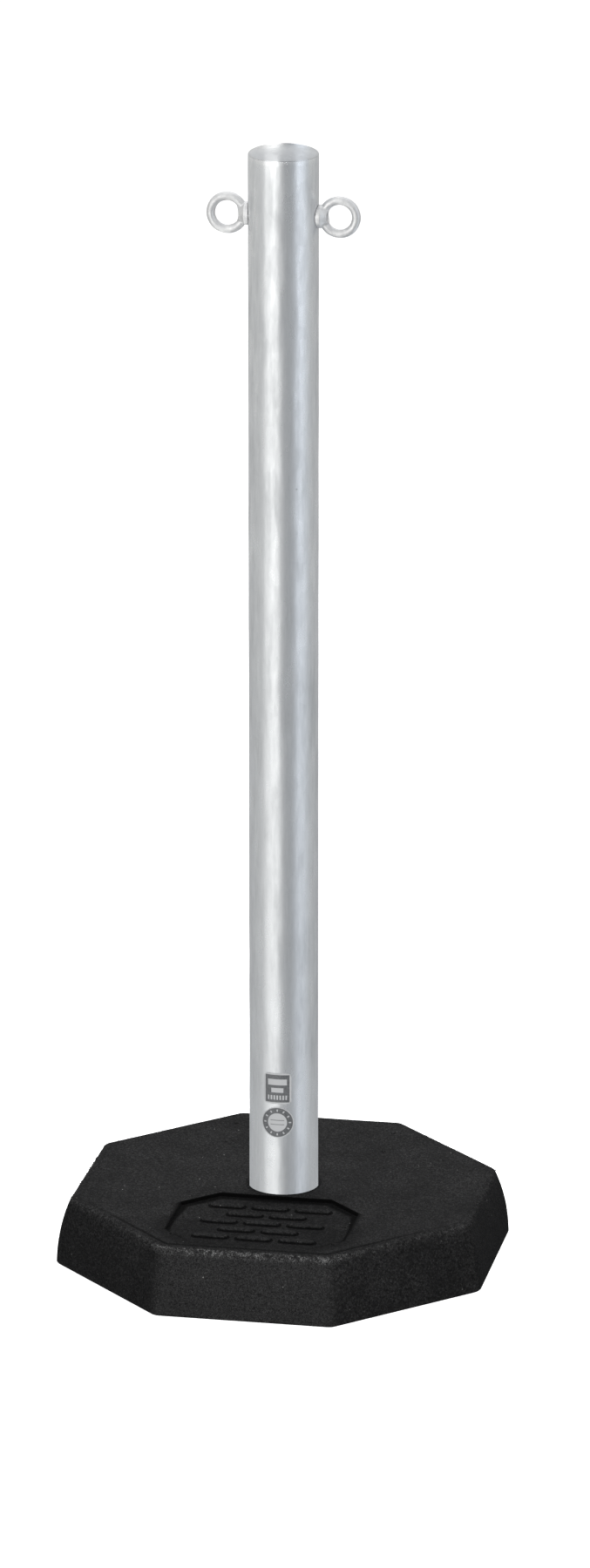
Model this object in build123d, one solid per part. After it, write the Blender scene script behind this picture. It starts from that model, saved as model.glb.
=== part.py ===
from build123d import *
import os
from math import cos, radians, sin, sqrt

# A free-standing chain post: a galvanised steel tube with a domed cap and two
# eye nuts, standing in an octagonal base moulded from recycled rubber.
# Millimetres. The origin is the centre of the base on the floor, +Z is up,
# the eyes lie along X and the sunken panel of the base faces -Y.

os.makedirs("parts", exist_ok=True)

# ---- rubber base -----------------------------------------------------------
base_flats = 375.0  # across flats on the floor
base_lean = 12.5  # how far each side comes in from floor to deck
base_height = 60.0
base_corner_radius = 12.0  # upright edges between the eight sides
base_deck_radius = 6.0  # round edge of the deck
base_floor_chamfer = 1.5  # broken edge at the floor
tube_clearance = 0.35  # all round, between the tube and the rubber

# ---- sunken panel and its tread bars ---------------------------------------
panel_width = 156.0
panel_post_gap = 6.0  # from the tube to the panel
panel_deck_margin = 13.0  # from the panel to the front edge of the deck
panel_corner = 29.0  # both legs of each cut corner
panel_depth = 3.0
bar_length = 30.0
bar_width = 8.0
bar_rise = 2.2  # above the panel's floor
bar_pitch_along = 38.0
bar_pitch_across = 19.0
bar_margin = 18.0  # least distance from the bars to the panel's near and far edges

# ---- small blind pin marks in the deck -------------------------------------
pin_mark_diameter = 4.0
pin_mark_depth = 5.0  # below the deck
pin_mark_inset = 7.0  # from the sides of the panel
pin_mark_margin = 31.0  # from the front and back edges of the deck
pin_mark_spacing = 50.0

# ---- post ------------------------------------------------------------------
tube_diameter = 60.3
tube_wall = 2.5
tube_rim_height = 978.0  # above the floor
cap_rise = 7.0
cap_wall = 2.5
cap_skirt_length = 12.0
cap_fit = 0.15  # all round, between the skirt and the tube

# ---- foot of the post ------------------------------------------------------
plate_diameter = 140.0
plate_thickness = 5.0
plate_above_floor = 1.0
plate_clearance = 0.5  # all round, between the plate and its pocket
drain_diameter = 14.0
weld_leg = 4.0
weld_relief = 1.0  # room around the weld in the rubber

# ---- M8 foot screws and their moulded-in sleeves ---------------------------
thread_diameter = 8.0
thread_play = 0.1  # on the diameter, in every tapped hole
screw_circle = 105.0
screw_count = 4
screw_length = 25.0  # over all, as a countersunk screw is measured
screw_head_diameter = 16.0
screw_head_edge = 0.4
screw_hole_play = 1.0  # on the diameter, in the plate
hex_key = 5.0
hex_key_depth = 2.5
sleeve_diameter = 14.0
sleeve_collar_diameter = 17.0
sleeve_collar_height = 3.0
sleeve_end = 3.0  # closed end beyond the tapped hole
tip_room = 2.0  # between a screw's tip and the end of its tapped hole

# ---- M8 eye nuts and the stud that joins them ------------------------------
eye_below_rim = 52.0
eye_outer_diameter = 36.0
eye_bar_diameter = 7.5
eye_collar_diameter = 20.0
eye_collar_height = 2.6
eye_neck_wall = 2.1  # outside the tapped hole, where the neck meets the ring
eye_neck_hollow = 14.0  # radius of the neck's hollow flank
eye_seat_spare = 0.5  # of the seat's length, cut away to the tube's curve
stud_engagement = 6.5  # thread inside each eye nut
stud_hole_play = 0.6  # on the diameter, in the tube

# ---- labels on the tube ----------------------------------------------------
label_thickness = 0.15
label_gap = 0.02  # film of glue
upper_label_width = 24.0
upper_label_height = 28.0
upper_label_corner = 4.0
lower_label_diameter = 28.0
lower_label_height = 52.0  # from the deck to the label's lower edge
label_spacing = 3.0  # between the two labels

# ---- sizes that follow ------------------------------------------------------
deck_half = base_flats / 2 - base_lean
tube_radius = tube_diameter / 2
tube_bore_radius = tube_radius - tube_wall
plate_top = plate_above_floor + plate_thickness
eye_height = tube_rim_height - eye_below_rim
eye_ring_radius = (eye_outer_diameter - eye_bar_diameter) / 2
tapped_radius = (thread_diameter + thread_play) / 2
eye_seat_length = tube_radius - sqrt(tube_radius**2 - (eye_collar_diameter / 2) ** 2) + eye_seat_spare
sleeve_depth = screw_length - plate_thickness + tip_room
sleeve_length = sleeve_depth + sleeve_end
screw_cone_height = (screw_head_diameter - thread_diameter) / 2
panel_far_edge = tube_radius + panel_post_gap
panel_near_edge = deck_half - panel_deck_margin
panel_centre = -(panel_far_edge + panel_near_edge) / 2
panel_length = panel_near_edge - panel_far_edge
lower_label_centre = base_height + lower_label_height + lower_label_diameter / 2
upper_label_centre = lower_label_centre + (lower_label_diameter + upper_label_height) / 2 + label_spacing


def upright(radius, bottom, top):
    """A cylinder on the Z axis between two heights."""
    return Pos(0, 0, (bottom + top) / 2) * Cylinder(radius, top - bottom)


def revolved(*points):
    """A closed (radius, height) outline turned about the Z axis."""
    outline = make_face(Polyline(*points, close=True))
    return revolve(Plane.XZ * outline, Axis.Z)


# ---- the rubber base --------------------------------------------------------
def base_slab():
    """Two opposite sides of the base: upright at the floor, leaning in above."""
    floor_half = base_flats / 2
    section = make_face(
        Line((-floor_half, 0), (floor_half, 0))
        + TangentArc((floor_half, 0), (deck_half, base_height), tangent=(0, 1))
        + Line((deck_half, base_height), (-deck_half, base_height))
        + TangentArc((-floor_half, 0), (-deck_half, base_height), tangent=(0, 1))
    )
    return extrude(Plane.XZ * section, amount=base_flats, both=True)


def base_body():
    """The octagonal block with its edges rounded and no holes yet."""
    slab = base_slab()
    body = slab
    for turn in (45, 90, 135):
        body = body & slab.rotate(Axis.Z, turn)
    corners = body.edges().filter_by(lambda edge: edge.bounding_box().size.Z > base_height / 2)
    body = fillet(corners, base_corner_radius)
    body = fillet(body.faces().sort_by(Axis.Z)[-1].edges(), base_deck_radius)
    return chamfer(body.faces().sort_by(Axis.Z)[0].edges(), base_floor_chamfer)


def tread_bars():
    """Staggered round-ended bars, three and two to a row, over the panel."""
    spots = []
    rows = 1 + int((panel_length - 2 * bar_margin - bar_width) / bar_pitch_across)
    for row in range(rows):
        count = 3 - row % 2
        y = (row - (rows - 1) / 2) * bar_pitch_across
        spots += [((place - (count - 1) / 2) * bar_pitch_along, y) for place in range(count)]
    return Locations(*spots) * SlotOverall(bar_length, bar_width)


def panel_cut():
    """What is taken out of the deck for the sunken panel, its bars left standing."""
    outline = Rectangle(panel_width, panel_length)
    outline = chamfer(outline.vertices(), panel_corner)
    floor = base_height - panel_depth
    hollow = Pos(0, panel_centre, floor) * extrude(outline, panel_depth + 1)
    bars = Pos(0, panel_centre, floor) * extrude(Sketch() + tread_bars(), bar_rise)
    return hollow - bars


def pin_marks():
    """Eight small blind holes in the deck, four to the front and four behind."""
    mark = upright(pin_mark_diameter / 2, base_height - pin_mark_depth, base_height + 1)
    x = panel_width / 2 - pin_mark_inset
    outer_y = deck_half - pin_mark_margin
    inner_y = outer_y - pin_mark_spacing
    return [Pos(side * x, y, 0) * mark for side in (-1, 1) for y in (-outer_y, -inner_y, inner_y, outer_y)]


def post_hollow():
    """The bore for the tube, the room for its weld and the pocket for its plate."""
    bore = tube_radius + tube_clearance
    pocket = plate_diameter / 2 + plate_clearance
    weld_room = tube_radius + weld_leg + weld_relief
    return revolved(
        (0, -1),
        (pocket, -1),
        (pocket, plate_top),
        (weld_room, plate_top),
        (weld_room, plate_top + weld_relief),
        (bore, plate_top + weld_leg + weld_relief + 1),
        (bore, base_height + 1),
        (0, base_height + 1),
    )


def rubber_base():
    """The moulded base with every opening that the other pieces need."""
    body = base_body() - panel_cut() - post_hollow()
    for mark in pin_marks():
        body -= mark
    for spot in screw_spots():
        body -= spot * sleeve_outside()
    return body


# ---- the post ---------------------------------------------------------------
def post_tube():
    """The steel tube, cross-drilled for the stud that carries the eyes."""
    wall = upright(tube_radius, plate_top, tube_rim_height)
    wall -= upright(tube_bore_radius, plate_top, tube_rim_height)
    drill = Rot(0, 90, 0) * Cylinder((thread_diameter + stud_hole_play) / 2, tube_diameter * 2)
    return wall - Pos(0, 0, eye_height) * drill


def dome(radius, rise):
    """Half a flattened ellipsoid of revolution, standing on the XY plane."""
    return scale(Sphere(radius), (1, 1, rise / radius)) & upright(radius * 2, 0, rise * 2)


def top_cap():
    """The pressed cap: a shallow dome flush with the tube and a skirt inside it."""
    skirt_radius = tube_bore_radius - cap_fit
    shell = Pos(0, 0, tube_rim_height) * dome(tube_radius, cap_rise)
    shell += upright(skirt_radius, tube_rim_height - cap_skirt_length, tube_rim_height)
    hollow_radius = skirt_radius - cap_wall
    hollow = Pos(0, 0, tube_rim_height) * dome(hollow_radius, cap_rise - cap_wall)
    hollow += upright(hollow_radius, tube_rim_height - cap_skirt_length, tube_rim_height)
    return shell - hollow


# ---- the foot ---------------------------------------------------------------
def screw_spots():
    """The places of the foot screws on their circle, at the level of the floor."""
    step = 360 / screw_count
    angles = [radians((index + 0.5) * step) for index in range(screw_count)]
    return [Pos(screw_circle / 2 * cos(a), screw_circle / 2 * sin(a), 0) for a in angles]


def foot_plate():
    """The round plate under the tube, with countersinks and a drain hole."""
    plate = upright(plate_diameter / 2, plate_above_floor, plate_top)
    plate -= upright(drain_diameter / 2, plate_above_floor, plate_top)
    hole = (thread_diameter + screw_hole_play) / 2
    mouth = screw_head_diameter / 2 + screw_head_edge
    sink = revolved(
        (0, plate_above_floor - 1),
        (mouth + 1, plate_above_floor - 1),
        (hole, plate_above_floor + mouth - hole),
        (hole, plate_top + 1),
        (0, plate_top + 1),
    )
    for spot in screw_spots():
        plate -= spot * sink
    return plate


def foot_weld():
    """The fillet weld all round the tube on top of its plate."""
    return revolved(
        (tube_radius, plate_top),
        (tube_radius + weld_leg, plate_top),
        (tube_radius, plate_top + weld_leg),
    )


def foot_screw():
    """A countersunk screw with a hexagon socket, its head down."""
    neck = plate_above_floor + screw_head_edge + screw_cone_height
    tip = plate_above_floor + screw_length
    body = revolved(
        (0, plate_above_floor),
        (screw_head_diameter / 2, plate_above_floor),
        (screw_head_diameter / 2, plate_above_floor + screw_head_edge),
        (thread_diameter / 2, neck),
        (thread_diameter / 2, tip - 1),
        (thread_diameter / 2 - 1, tip),
        (0, tip),
    )
    socket = extrude(RegularPolygon(hex_key / 2, 6, major_radius=False), hex_key_depth)
    return body - Pos(0, 0, plate_above_floor) * socket


def sleeve_outside():
    """The outer shape of a moulded-in sleeve, with a collar at each end."""
    end = plate_top + sleeve_length
    return revolved(
        (0, plate_top),
        (sleeve_collar_diameter / 2, plate_top),
        (sleeve_collar_diameter / 2, plate_top + sleeve_collar_height),
        (sleeve_diameter / 2, plate_top + sleeve_collar_height),
        (sleeve_diameter / 2, end - sleeve_collar_height),
        (sleeve_collar_diameter / 2, end - sleeve_collar_height),
        (sleeve_collar_diameter / 2, end),
        (0, end),
    )


def threaded_sleeve():
    """A blind tapped sleeve that the rubber is moulded around."""
    return sleeve_outside() - upright(tapped_radius, plate_top, plate_top + sleeve_depth)


# ---- the eyes ---------------------------------------------------------------
def eye_boss(centre, opening_radius):
    """The collar, its seat below the XY plane, and the neck that flares up to the ring."""
    neck_radius = tapped_radius + eye_neck_wall
    neck_top = centre - sqrt(opening_radius**2 - neck_radius**2) + 0.5
    collar_radius = eye_collar_diameter / 2
    outline = make_face(
        Polyline(
            (0, neck_top), (0, -eye_seat_length), (collar_radius, -eye_seat_length), (collar_radius, eye_collar_height),
        )
        + RadiusArc((collar_radius, eye_collar_height), (neck_radius, neck_top), eye_neck_hollow)
        + Line((neck_radius, neck_top), (0, neck_top))
    )
    return revolve(Plane.XZ * outline, Axis.Z)


def eye_nut():
    """An eye nut whose collar stands on the XY plane, its ring upright in the XZ plane."""
    centre = eye_outer_diameter / 2
    opening_radius = eye_ring_radius - eye_bar_diameter / 2
    ring = Pos(0, 0, centre) * Rot(90, 0, 0) * Torus(eye_ring_radius, eye_bar_diameter / 2)
    opening = Pos(0, 0, centre) * Rot(90, 0, 0) * Cylinder(opening_radius, eye_outer_diameter)
    boss = eye_boss(centre, opening_radius) - opening
    nut = ring + boss
    return nut - upright(tapped_radius, -eye_seat_length - 1, centre)


def placed_eye(side):
    """The eye nut turned to point outwards, its seat hollowed to the tube's curve."""
    nut = Pos(side * tube_radius, 0, eye_height) * Rot(0, side * 90, 0) * eye_nut()
    return nut - upright(tube_radius, eye_height - eye_outer_diameter, eye_height + eye_outer_diameter)


def cross_stud():
    """The threaded rod through the tube that holds both eye nuts."""
    half = tube_radius + stud_engagement
    rod = Cylinder(thread_diameter / 2, 2 * half)
    rod = chamfer(rod.edges().filter_by(GeomType.CIRCLE), thread_diameter / 10)
    return Pos(0, 0, eye_height) * Rot(0, 90, 0) * rod


# ---- the labels -------------------------------------------------------------
def label_film(outline, height):
    """A thin film on the front of the tube, cut to an outline drawn in XZ."""
    inner = tube_radius + label_gap
    film = Cylinder(inner + label_thickness, tube_diameter) - Cylinder(inner, tube_diameter)
    cutter = extrude(Plane.XZ * outline, tube_diameter)
    return Pos(0, 0, height) * (film & cutter)


def upper_label():
    """The upper label, a rounded rectangle."""
    outline = RectangleRounded(upper_label_width, upper_label_height, upper_label_corner)
    return label_film(outline, upper_label_centre)


def lower_label():
    """The lower label, a disc."""
    return label_film(Circle(lower_label_diameter / 2), lower_label_centre)


# ---- every piece, each in a file of its own ---------------------------------
pieces = {
    "rubber_base": rubber_base(),
    "post_tube": post_tube(),
    "top_cap": top_cap(),
    "foot_plate": foot_plate(),
    "foot_weld": foot_weld(),
    "cross_stud": cross_stud(),
    "eye_nut_left": placed_eye(-1),
    "eye_nut_right": placed_eye(1),
    "upper_label": upper_label(),
    "lower_label": lower_label(),
}
for number, spot in enumerate(screw_spots(), start=1):
    pieces[f"foot_screw_{number}"] = spot * foot_screw()
    pieces[f"threaded_sleeve_{number}"] = spot * threaded_sleeve()

for name, shape in pieces.items():
    export_step(shape, f"parts/{name}.step")
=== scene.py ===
"""Looks of a free-standing chain post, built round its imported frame.

A galvanised tube with a domed cap and two eye nuts stands in an octagonal base
of bonded rubber granules. Sizes in the classes are millimetres, meshes are
written in metres, and every piece keeps to the frame's own axes: +Z up the
tube, the eyes along X and the sunken panel of the base towards -Y.
"""

import logging
import math
from collections.abc import Callable
from dataclasses import dataclass, field
from enum import Enum

import bpy
import numpy as np
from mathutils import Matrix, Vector


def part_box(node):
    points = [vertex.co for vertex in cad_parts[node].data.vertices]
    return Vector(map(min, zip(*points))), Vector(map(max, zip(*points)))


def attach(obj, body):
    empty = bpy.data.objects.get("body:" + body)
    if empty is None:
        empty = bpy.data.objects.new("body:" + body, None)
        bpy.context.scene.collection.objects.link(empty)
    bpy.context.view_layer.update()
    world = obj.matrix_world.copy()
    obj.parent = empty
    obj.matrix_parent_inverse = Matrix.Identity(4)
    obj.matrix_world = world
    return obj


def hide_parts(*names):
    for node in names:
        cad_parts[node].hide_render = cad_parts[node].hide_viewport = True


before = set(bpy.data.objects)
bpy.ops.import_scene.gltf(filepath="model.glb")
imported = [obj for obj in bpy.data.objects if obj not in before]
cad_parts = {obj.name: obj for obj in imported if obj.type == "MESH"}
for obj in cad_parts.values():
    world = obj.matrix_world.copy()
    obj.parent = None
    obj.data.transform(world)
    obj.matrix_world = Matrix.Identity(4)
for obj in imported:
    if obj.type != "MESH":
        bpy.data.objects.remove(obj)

LOG = logging.getLogger("chain_post")
MM = 0.001
FULL_TURN = 2 * math.pi
SHARP_ANGLE = math.radians(38)
OCTAGON_TURN = math.radians(45)
HALF_SIDE = OCTAGON_TURN / 2
ALMOST_NONE = 1e-9
WHITE = (1.0, 1.0, 1.0)
# Ways that a profile faces, in degrees.
OUTWARDS, UP, INWARDS, DOWN = 0, 90, 180, -90
# A mixing node's colour inputs and output, by number, and how many stops a new colour ramp has.
MIXED_COLOURS = (6, 7)
MIX_RESULT = 2
RAMP_STOPS = 2

Triple = tuple[float, float, float]
Colour = Triple
# Where something starts and where it has risen.
Rise = tuple[float, float]
# A noise's lumps to a metre, its layers, and how strong the finer ones are.
Cloud = Triple
# Two inputs and what they give.
Span = tuple[float, float, float, float]
# Distances from an axis with their heights.
Profile = list[tuple[float, float]]
Faces = list[list[int]]
Reach = float | np.ndarray
Socket = bpy.types.NodeSocket
Sockets = dict[str | int, object]


class Slot(Enum):
    """The record's material slots, one for each kind of new piece."""

    RUBBER = "recycled_rubber"
    TUBE_ZINC = "galvanised_steel"
    FORGING = "zinc_coated_forging"
    LABEL = "label_film"


class Print(Enum):
    """What is printed on a label."""

    FIELDS = "fields"
    DIAL = "dial"


# ---- arrays and meshes -------------------------------------------------------
def smooth_step(value: np.ndarray, low: float, high: float) -> np.ndarray:
    """Rises from 0 at low to 1 at high along 3t squared less 2t cubed.

    Args:
        value: Where it is wanted.
        low: Where it starts to rise.
        high: Where it has risen.

    Returns:
        An array of the shape of value, between 0 and 1.
    """
    part = np.clip((value - low) / (high - low), 0, 1)
    return part * part * (3 - 2 * part)


@dataclass(frozen=True)
class LatticeNoise:
    """Smooth seeded noise: random numbers on a repeating lattice, eased between its corners."""

    seed: int
    cells: int = 48
    layer_shift: float = 7.3

    def at(self, points: np.ndarray, cell: Triple, layers: int = 2) -> np.ndarray:
        """The noise at points, each layer having half the cell and half the height of the last.

        Args:
            points: Millimetres, with x, y and z along the last axis.
            cell: Length of one lattice cell along x, y and z.
            layers: How many layers are added up.

        Returns:
            Values between -1 and 1, one for each point.
        """
        table = np.random.default_rng(self.seed).uniform(-1, 1, (self.cells,) * 3)
        total = np.zeros(points.shape[:-1])
        height = 0.0
        for layer in range(layers):
            scaled = points / np.asarray(cell) * 2**layer + self.layer_shift * layer
            corner = np.floor(scaled).astype(int)
            part = scaled - corner
            part = part * part * (3 - 2 * part)
            for step in np.ndindex(2, 2, 2):
                index = (corner + step) % self.cells
                weight = np.where(np.array(step, bool), part, 1 - part).prod(axis=-1)
                total += weight * table[index[..., 0], index[..., 1], index[..., 2]] / 2**layer
            height += 1 / 2**layer
        return total / height


def grid_faces(rows: int, columns: int, closed_rows: bool, poles: tuple[bool, bool]) -> Faces:
    """Joins a grid of points into faces, its columns closing into a ring.

    Args:
        rows: Points along the profile.
        columns: Points round the ring.
        closed_rows: Whether the last row joins the first.
        poles: Whether the first and the last row are one point each.

    Returns:
        Faces as lists of point numbers, triangles at the poles and quads elsewhere.
    """
    number = np.arange(rows * columns).reshape(rows, columns)
    after = np.roll(number, -1, axis=1)
    faces: Faces = []
    for row in range(rows if closed_rows else rows - 1):
        below = (row + 1) % rows
        if poles[0] and row == 0:
            corners = np.stack([np.full(columns, number[0, 0]), after[below], number[below]], axis=1)
        elif poles[1] and below == rows - 1:
            corners = np.stack([number[row], after[row], np.full(columns, number[below, 0])], axis=1)
        else:
            corners = np.stack([number[row], after[row], after[below], number[below]], axis=1)
        faces += corners.tolist()
    return faces


def signed_volume(points: np.ndarray, faces: Faces) -> float:
    """The volume that the faces enclose, positive where they point outwards.

    Args:
        points: The mesh's points.
        faces: Lists of three or four point numbers.

    Returns:
        The sum of the tetrahedra that each face makes with the origin.
    """
    fans = [np.array([f for f in faces if len(f) == sides]) for sides in (3, 4)]
    total = 0.0
    for fan in fans:
        for last in range(2, fan.shape[1] if fan.size else 0):
            a, b, c = (points[fan[:, place]] for place in (0, last - 1, last))
            total += float(np.einsum("ij,ij->i", a, np.cross(b, c)).sum()) / 6
    return total


@dataclass
class Skin:
    """A closed surface over one grid of points, or over several alike."""

    name: str
    points: np.ndarray
    closed_rows: bool = False
    poles: tuple[bool, bool] = (False, False)
    kept: np.ndarray | None = None

    def build(self) -> bpy.types.Object:
        """Makes the object, faces outwards, poles one point each, at the origin.

        Returns:
            The new object, linked to the scene and shaded smooth.
        """
        rows, columns = self.points.shape[-3:-1]
        grids = self.points.reshape(-1, rows, columns, 3)
        faces = grid_faces(rows, columns, self.closed_rows, self.poles)
        if signed_volume(grids[0].reshape(-1, 3), faces) < 0:
            faces = [face[::-1] for face in faces]
        used, renumbered = np.unique(np.concatenate([np.array(f) for f in faces]), return_inverse=True)
        lengths = np.cumsum([len(f) for f in faces])[:-1]
        joined = [part.tolist() for part in np.split(renumbered, lengths)]
        points = grids.reshape(len(grids), -1, 3)[:, used]
        starts = range(0, len(grids) * len(used), len(used))
        every = [[start + place for place in face] for start in starts for face in joined]
        mesh = bpy.data.meshes.new(self.name)
        mesh.from_pydata((points.reshape(-1, 3) * MM).tolist(), [], every)
        self.kept = used
        return placed(self.name, mesh)

    def paint(self, piece: bpy.types.Object, attribute: str, values: np.ndarray) -> None:
        """Writes a number on every point of the piece.

        Args:
            piece: What build returned.
            attribute: The attribute's name.
            values: One number for each point of one grid, the same on every grid.
        """
        once = np.asarray(values, np.float32).ravel()[self.kept]
        every = np.tile(once, len(piece.data.vertices) // len(once))
        piece.data.attributes.new(attribute, "FLOAT", "POINT").data.foreach_set("value", every)


def placed(name: str, mesh: bpy.types.Mesh) -> bpy.types.Object:
    """Links a mesh as an object at the origin, shaded smooth between its sharp edges.

    Args:
        name: The piece's name.
        mesh: Its finished mesh.

    Returns:
        The new object.
    """
    mesh.update()
    mesh.shade_smooth()
    mesh.set_sharp_from_angle(angle=SHARP_ANGLE)
    piece = bpy.data.objects.new(name, mesh)
    bpy.context.scene.collection.objects.link(piece)
    return piece


def turned(profile: Profile, columns: int) -> np.ndarray:
    """Carries a profile round the Z axis.

    Args:
        profile: Radius and height of each point.
        columns: Points round the circle.

    Returns:
        A grid of points, one row for each point of the profile.
    """
    radius, height = (np.array(values)[:, None] for values in zip(*profile))
    angle = np.linspace(0, FULL_TURN, columns, endpoint=False)[None, :]
    flat = np.ones_like(angle)
    return np.stack([radius * np.cos(angle), radius * np.sin(angle), height * flat], axis=-1)


def arc(centre: tuple[float, float], radius: float, start: float, end: float, steps: int) -> Profile:
    """Points on a circle between two angles, both ends included.

    Args:
        centre: The circle's centre, radius and height of the profile.
        radius: The circle's radius.
        start: First angle in degrees, 0 being outwards and 90 up.
        end: Last angle in degrees.
        steps: How many lengths it is cut into.

    Returns:
        A profile of one more point than steps.
    """
    angles = np.radians(np.linspace(start, end, steps + 1))
    return list(zip(centre[0] + radius * np.cos(angles), centre[1] + radius * np.sin(angles)))


# ---- finishes ----------------------------------------------------------------
@dataclass
class Nodes:
    """A tree of shader nodes, with short ways to add and join them."""

    tree: bpy.types.NodeTree

    def __post_init__(self) -> None:
        """Clears what the tree came with."""
        self.tree.nodes.clear()

    def add(self, kind: str, sockets: Sockets | None = None, **options: object) -> bpy.types.Node:
        """Adds a node.

        Args:
            kind: The node's type, without the ShaderNode in front.
            sockets: What its inputs, by name or number, are fed.
            options: Its own settings.

        Returns:
            The new node.
        """
        node = self.tree.nodes.new(f"ShaderNode{kind}")
        for option, choice in options.items():
            setattr(node, option, choice)
        for socket, value in (sockets or {}).items():
            self.feed(node.inputs[socket], value)
        return node

    def feed(self, target: Socket, value: object) -> None:
        """Links a socket to the target, or writes a plain value on it.

        Args:
            target: An input.
            value: A socket, a number, or a colour of three numbers, which is made opaque.
        """
        if isinstance(value, Socket):
            self.tree.links.new(value, target)
        elif target.type == "RGBA":
            target.default_value = (*value, 1)
        else:
            target.default_value = value

    def noise(self, vector: Socket, scale: float, detail: float = 3, rough: float = 0.55) -> Socket:
        """Cloudy noise between 0 and 1.

        Args:
            vector: Coordinates.
            scale: Lumps for each metre.
            detail: Layers of finer noise.
            rough: How strong the finer layers are.

        Returns:
            The socket of its strength.
        """
        sockets = {"Vector": vector, "Scale": scale, "Detail": detail, "Roughness": rough}
        return self.add("TexNoise", sockets).outputs[0]

    def cells(self, vector: Socket, scale: float) -> tuple[Socket, Socket]:
        """A pattern of cells.

        Args:
            vector: Coordinates.
            scale: Cells for each metre.

        Returns:
            The sockets of the distance to a cell's middle, and of a random number for each cell.
        """
        pattern = self.add("TexVoronoi", {"Vector": vector, "Scale": scale}).outputs
        return pattern["Distance"], self.add("SeparateColor", {0: pattern["Color"]}).outputs[0]

    def span(self, value: Socket, start: float, end: float, low: float, high: float) -> Socket:
        """Maps a value from one range to another, held at both ends.

        Args:
            value: What is mapped.
            start: The value that gives low.
            end: The value that gives high.
            low: The result at start.
            high: The result at end.

        Returns:
            The socket of the result.
        """
        sockets = {"Value": value, "From Min": start, "From Max": end, "To Min": low, "To Max": high}
        return self.add("MapRange", sockets).outputs[0]

    def maths(self, operation: str, first: object, second: object = 0.0) -> Socket:
        """One sum, such as ADD or LESS_THAN, of two sockets or numbers."""
        return self.add("Math", {0: first, 1: second}, operation=operation).outputs[0]

    def product(self, first: object, *others: object) -> object:
        """Sockets or numbers multiplied together.

        Args:
            first: A socket or number.
            others: More of them.

        Returns:
            The socket of the product, or first itself where it stands alone.
        """
        for factor in others:
            first = self.maths("MULTIPLY", first, factor)
        return first

    def blend(self, share: object, first: object, second: object) -> Socket:
        """A colour between two.

        Args:
            share: How much of the second is taken, 0 to 1.
            first: A colour or a socket.
            second: A colour or a socket.

        Returns:
            The socket of the colour.
        """
        colours = dict(zip(MIXED_COLOURS, (first, second)))
        return self.add("Mix", {"Factor": share, **colours}, data_type="RGBA").outputs[MIX_RESULT]


class Recipe(Nodes):
    """A material's nodes and its shader."""

    def __init__(self, name: str) -> None:
        """Starts a material with a shader and an output.

        Args:
            name: The material's name.
        """
        self.material = bpy.data.materials.new(name)
        self.material.use_nodes = True
        super().__init__(self.material.node_tree)
        self.shader = self.add("BsdfPrincipled")
        self.output = self.add("OutputMaterial", {"Surface": self.shader.outputs[0]})
        self.coordinates = self.add("TexCoord").outputs["Object"]

    def stretched(self, scale: Triple, shift: Triple = (0, 0, 0)) -> Socket:
        """Object coordinates, scaled and then shifted by metres."""
        sockets = {"Vector": self.coordinates, "Scale": scale, "Location": shift}
        return self.add("Mapping", sockets).outputs[0]

    def attribute(self, name: str) -> Socket:
        """The piece's own attribute of that name, 0 where it has none."""
        return self.add("Attribute", attribute_name=name).outputs["Fac"]

    def bumps(self, *layers: tuple[Socket, float]) -> None:
        """Adds relief to the shader.

        Args:
            layers: Each layer's height socket and its depth in millimetres.
        """
        sockets = {}
        for height, depth in layers:
            relief = self.add("Bump", {"Distance": depth * MM, "Height": height, **sockets})
            sockets = {"Normal": relief.outputs[0]}
        self.set(**sockets)

    def set(self, **values: object) -> None:
        """Feeds the shader's sockets, spaces written as underscores."""
        for name, value in values.items():
            self.feed(self.shader.inputs[name.replace("_", " ")], value)


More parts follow.
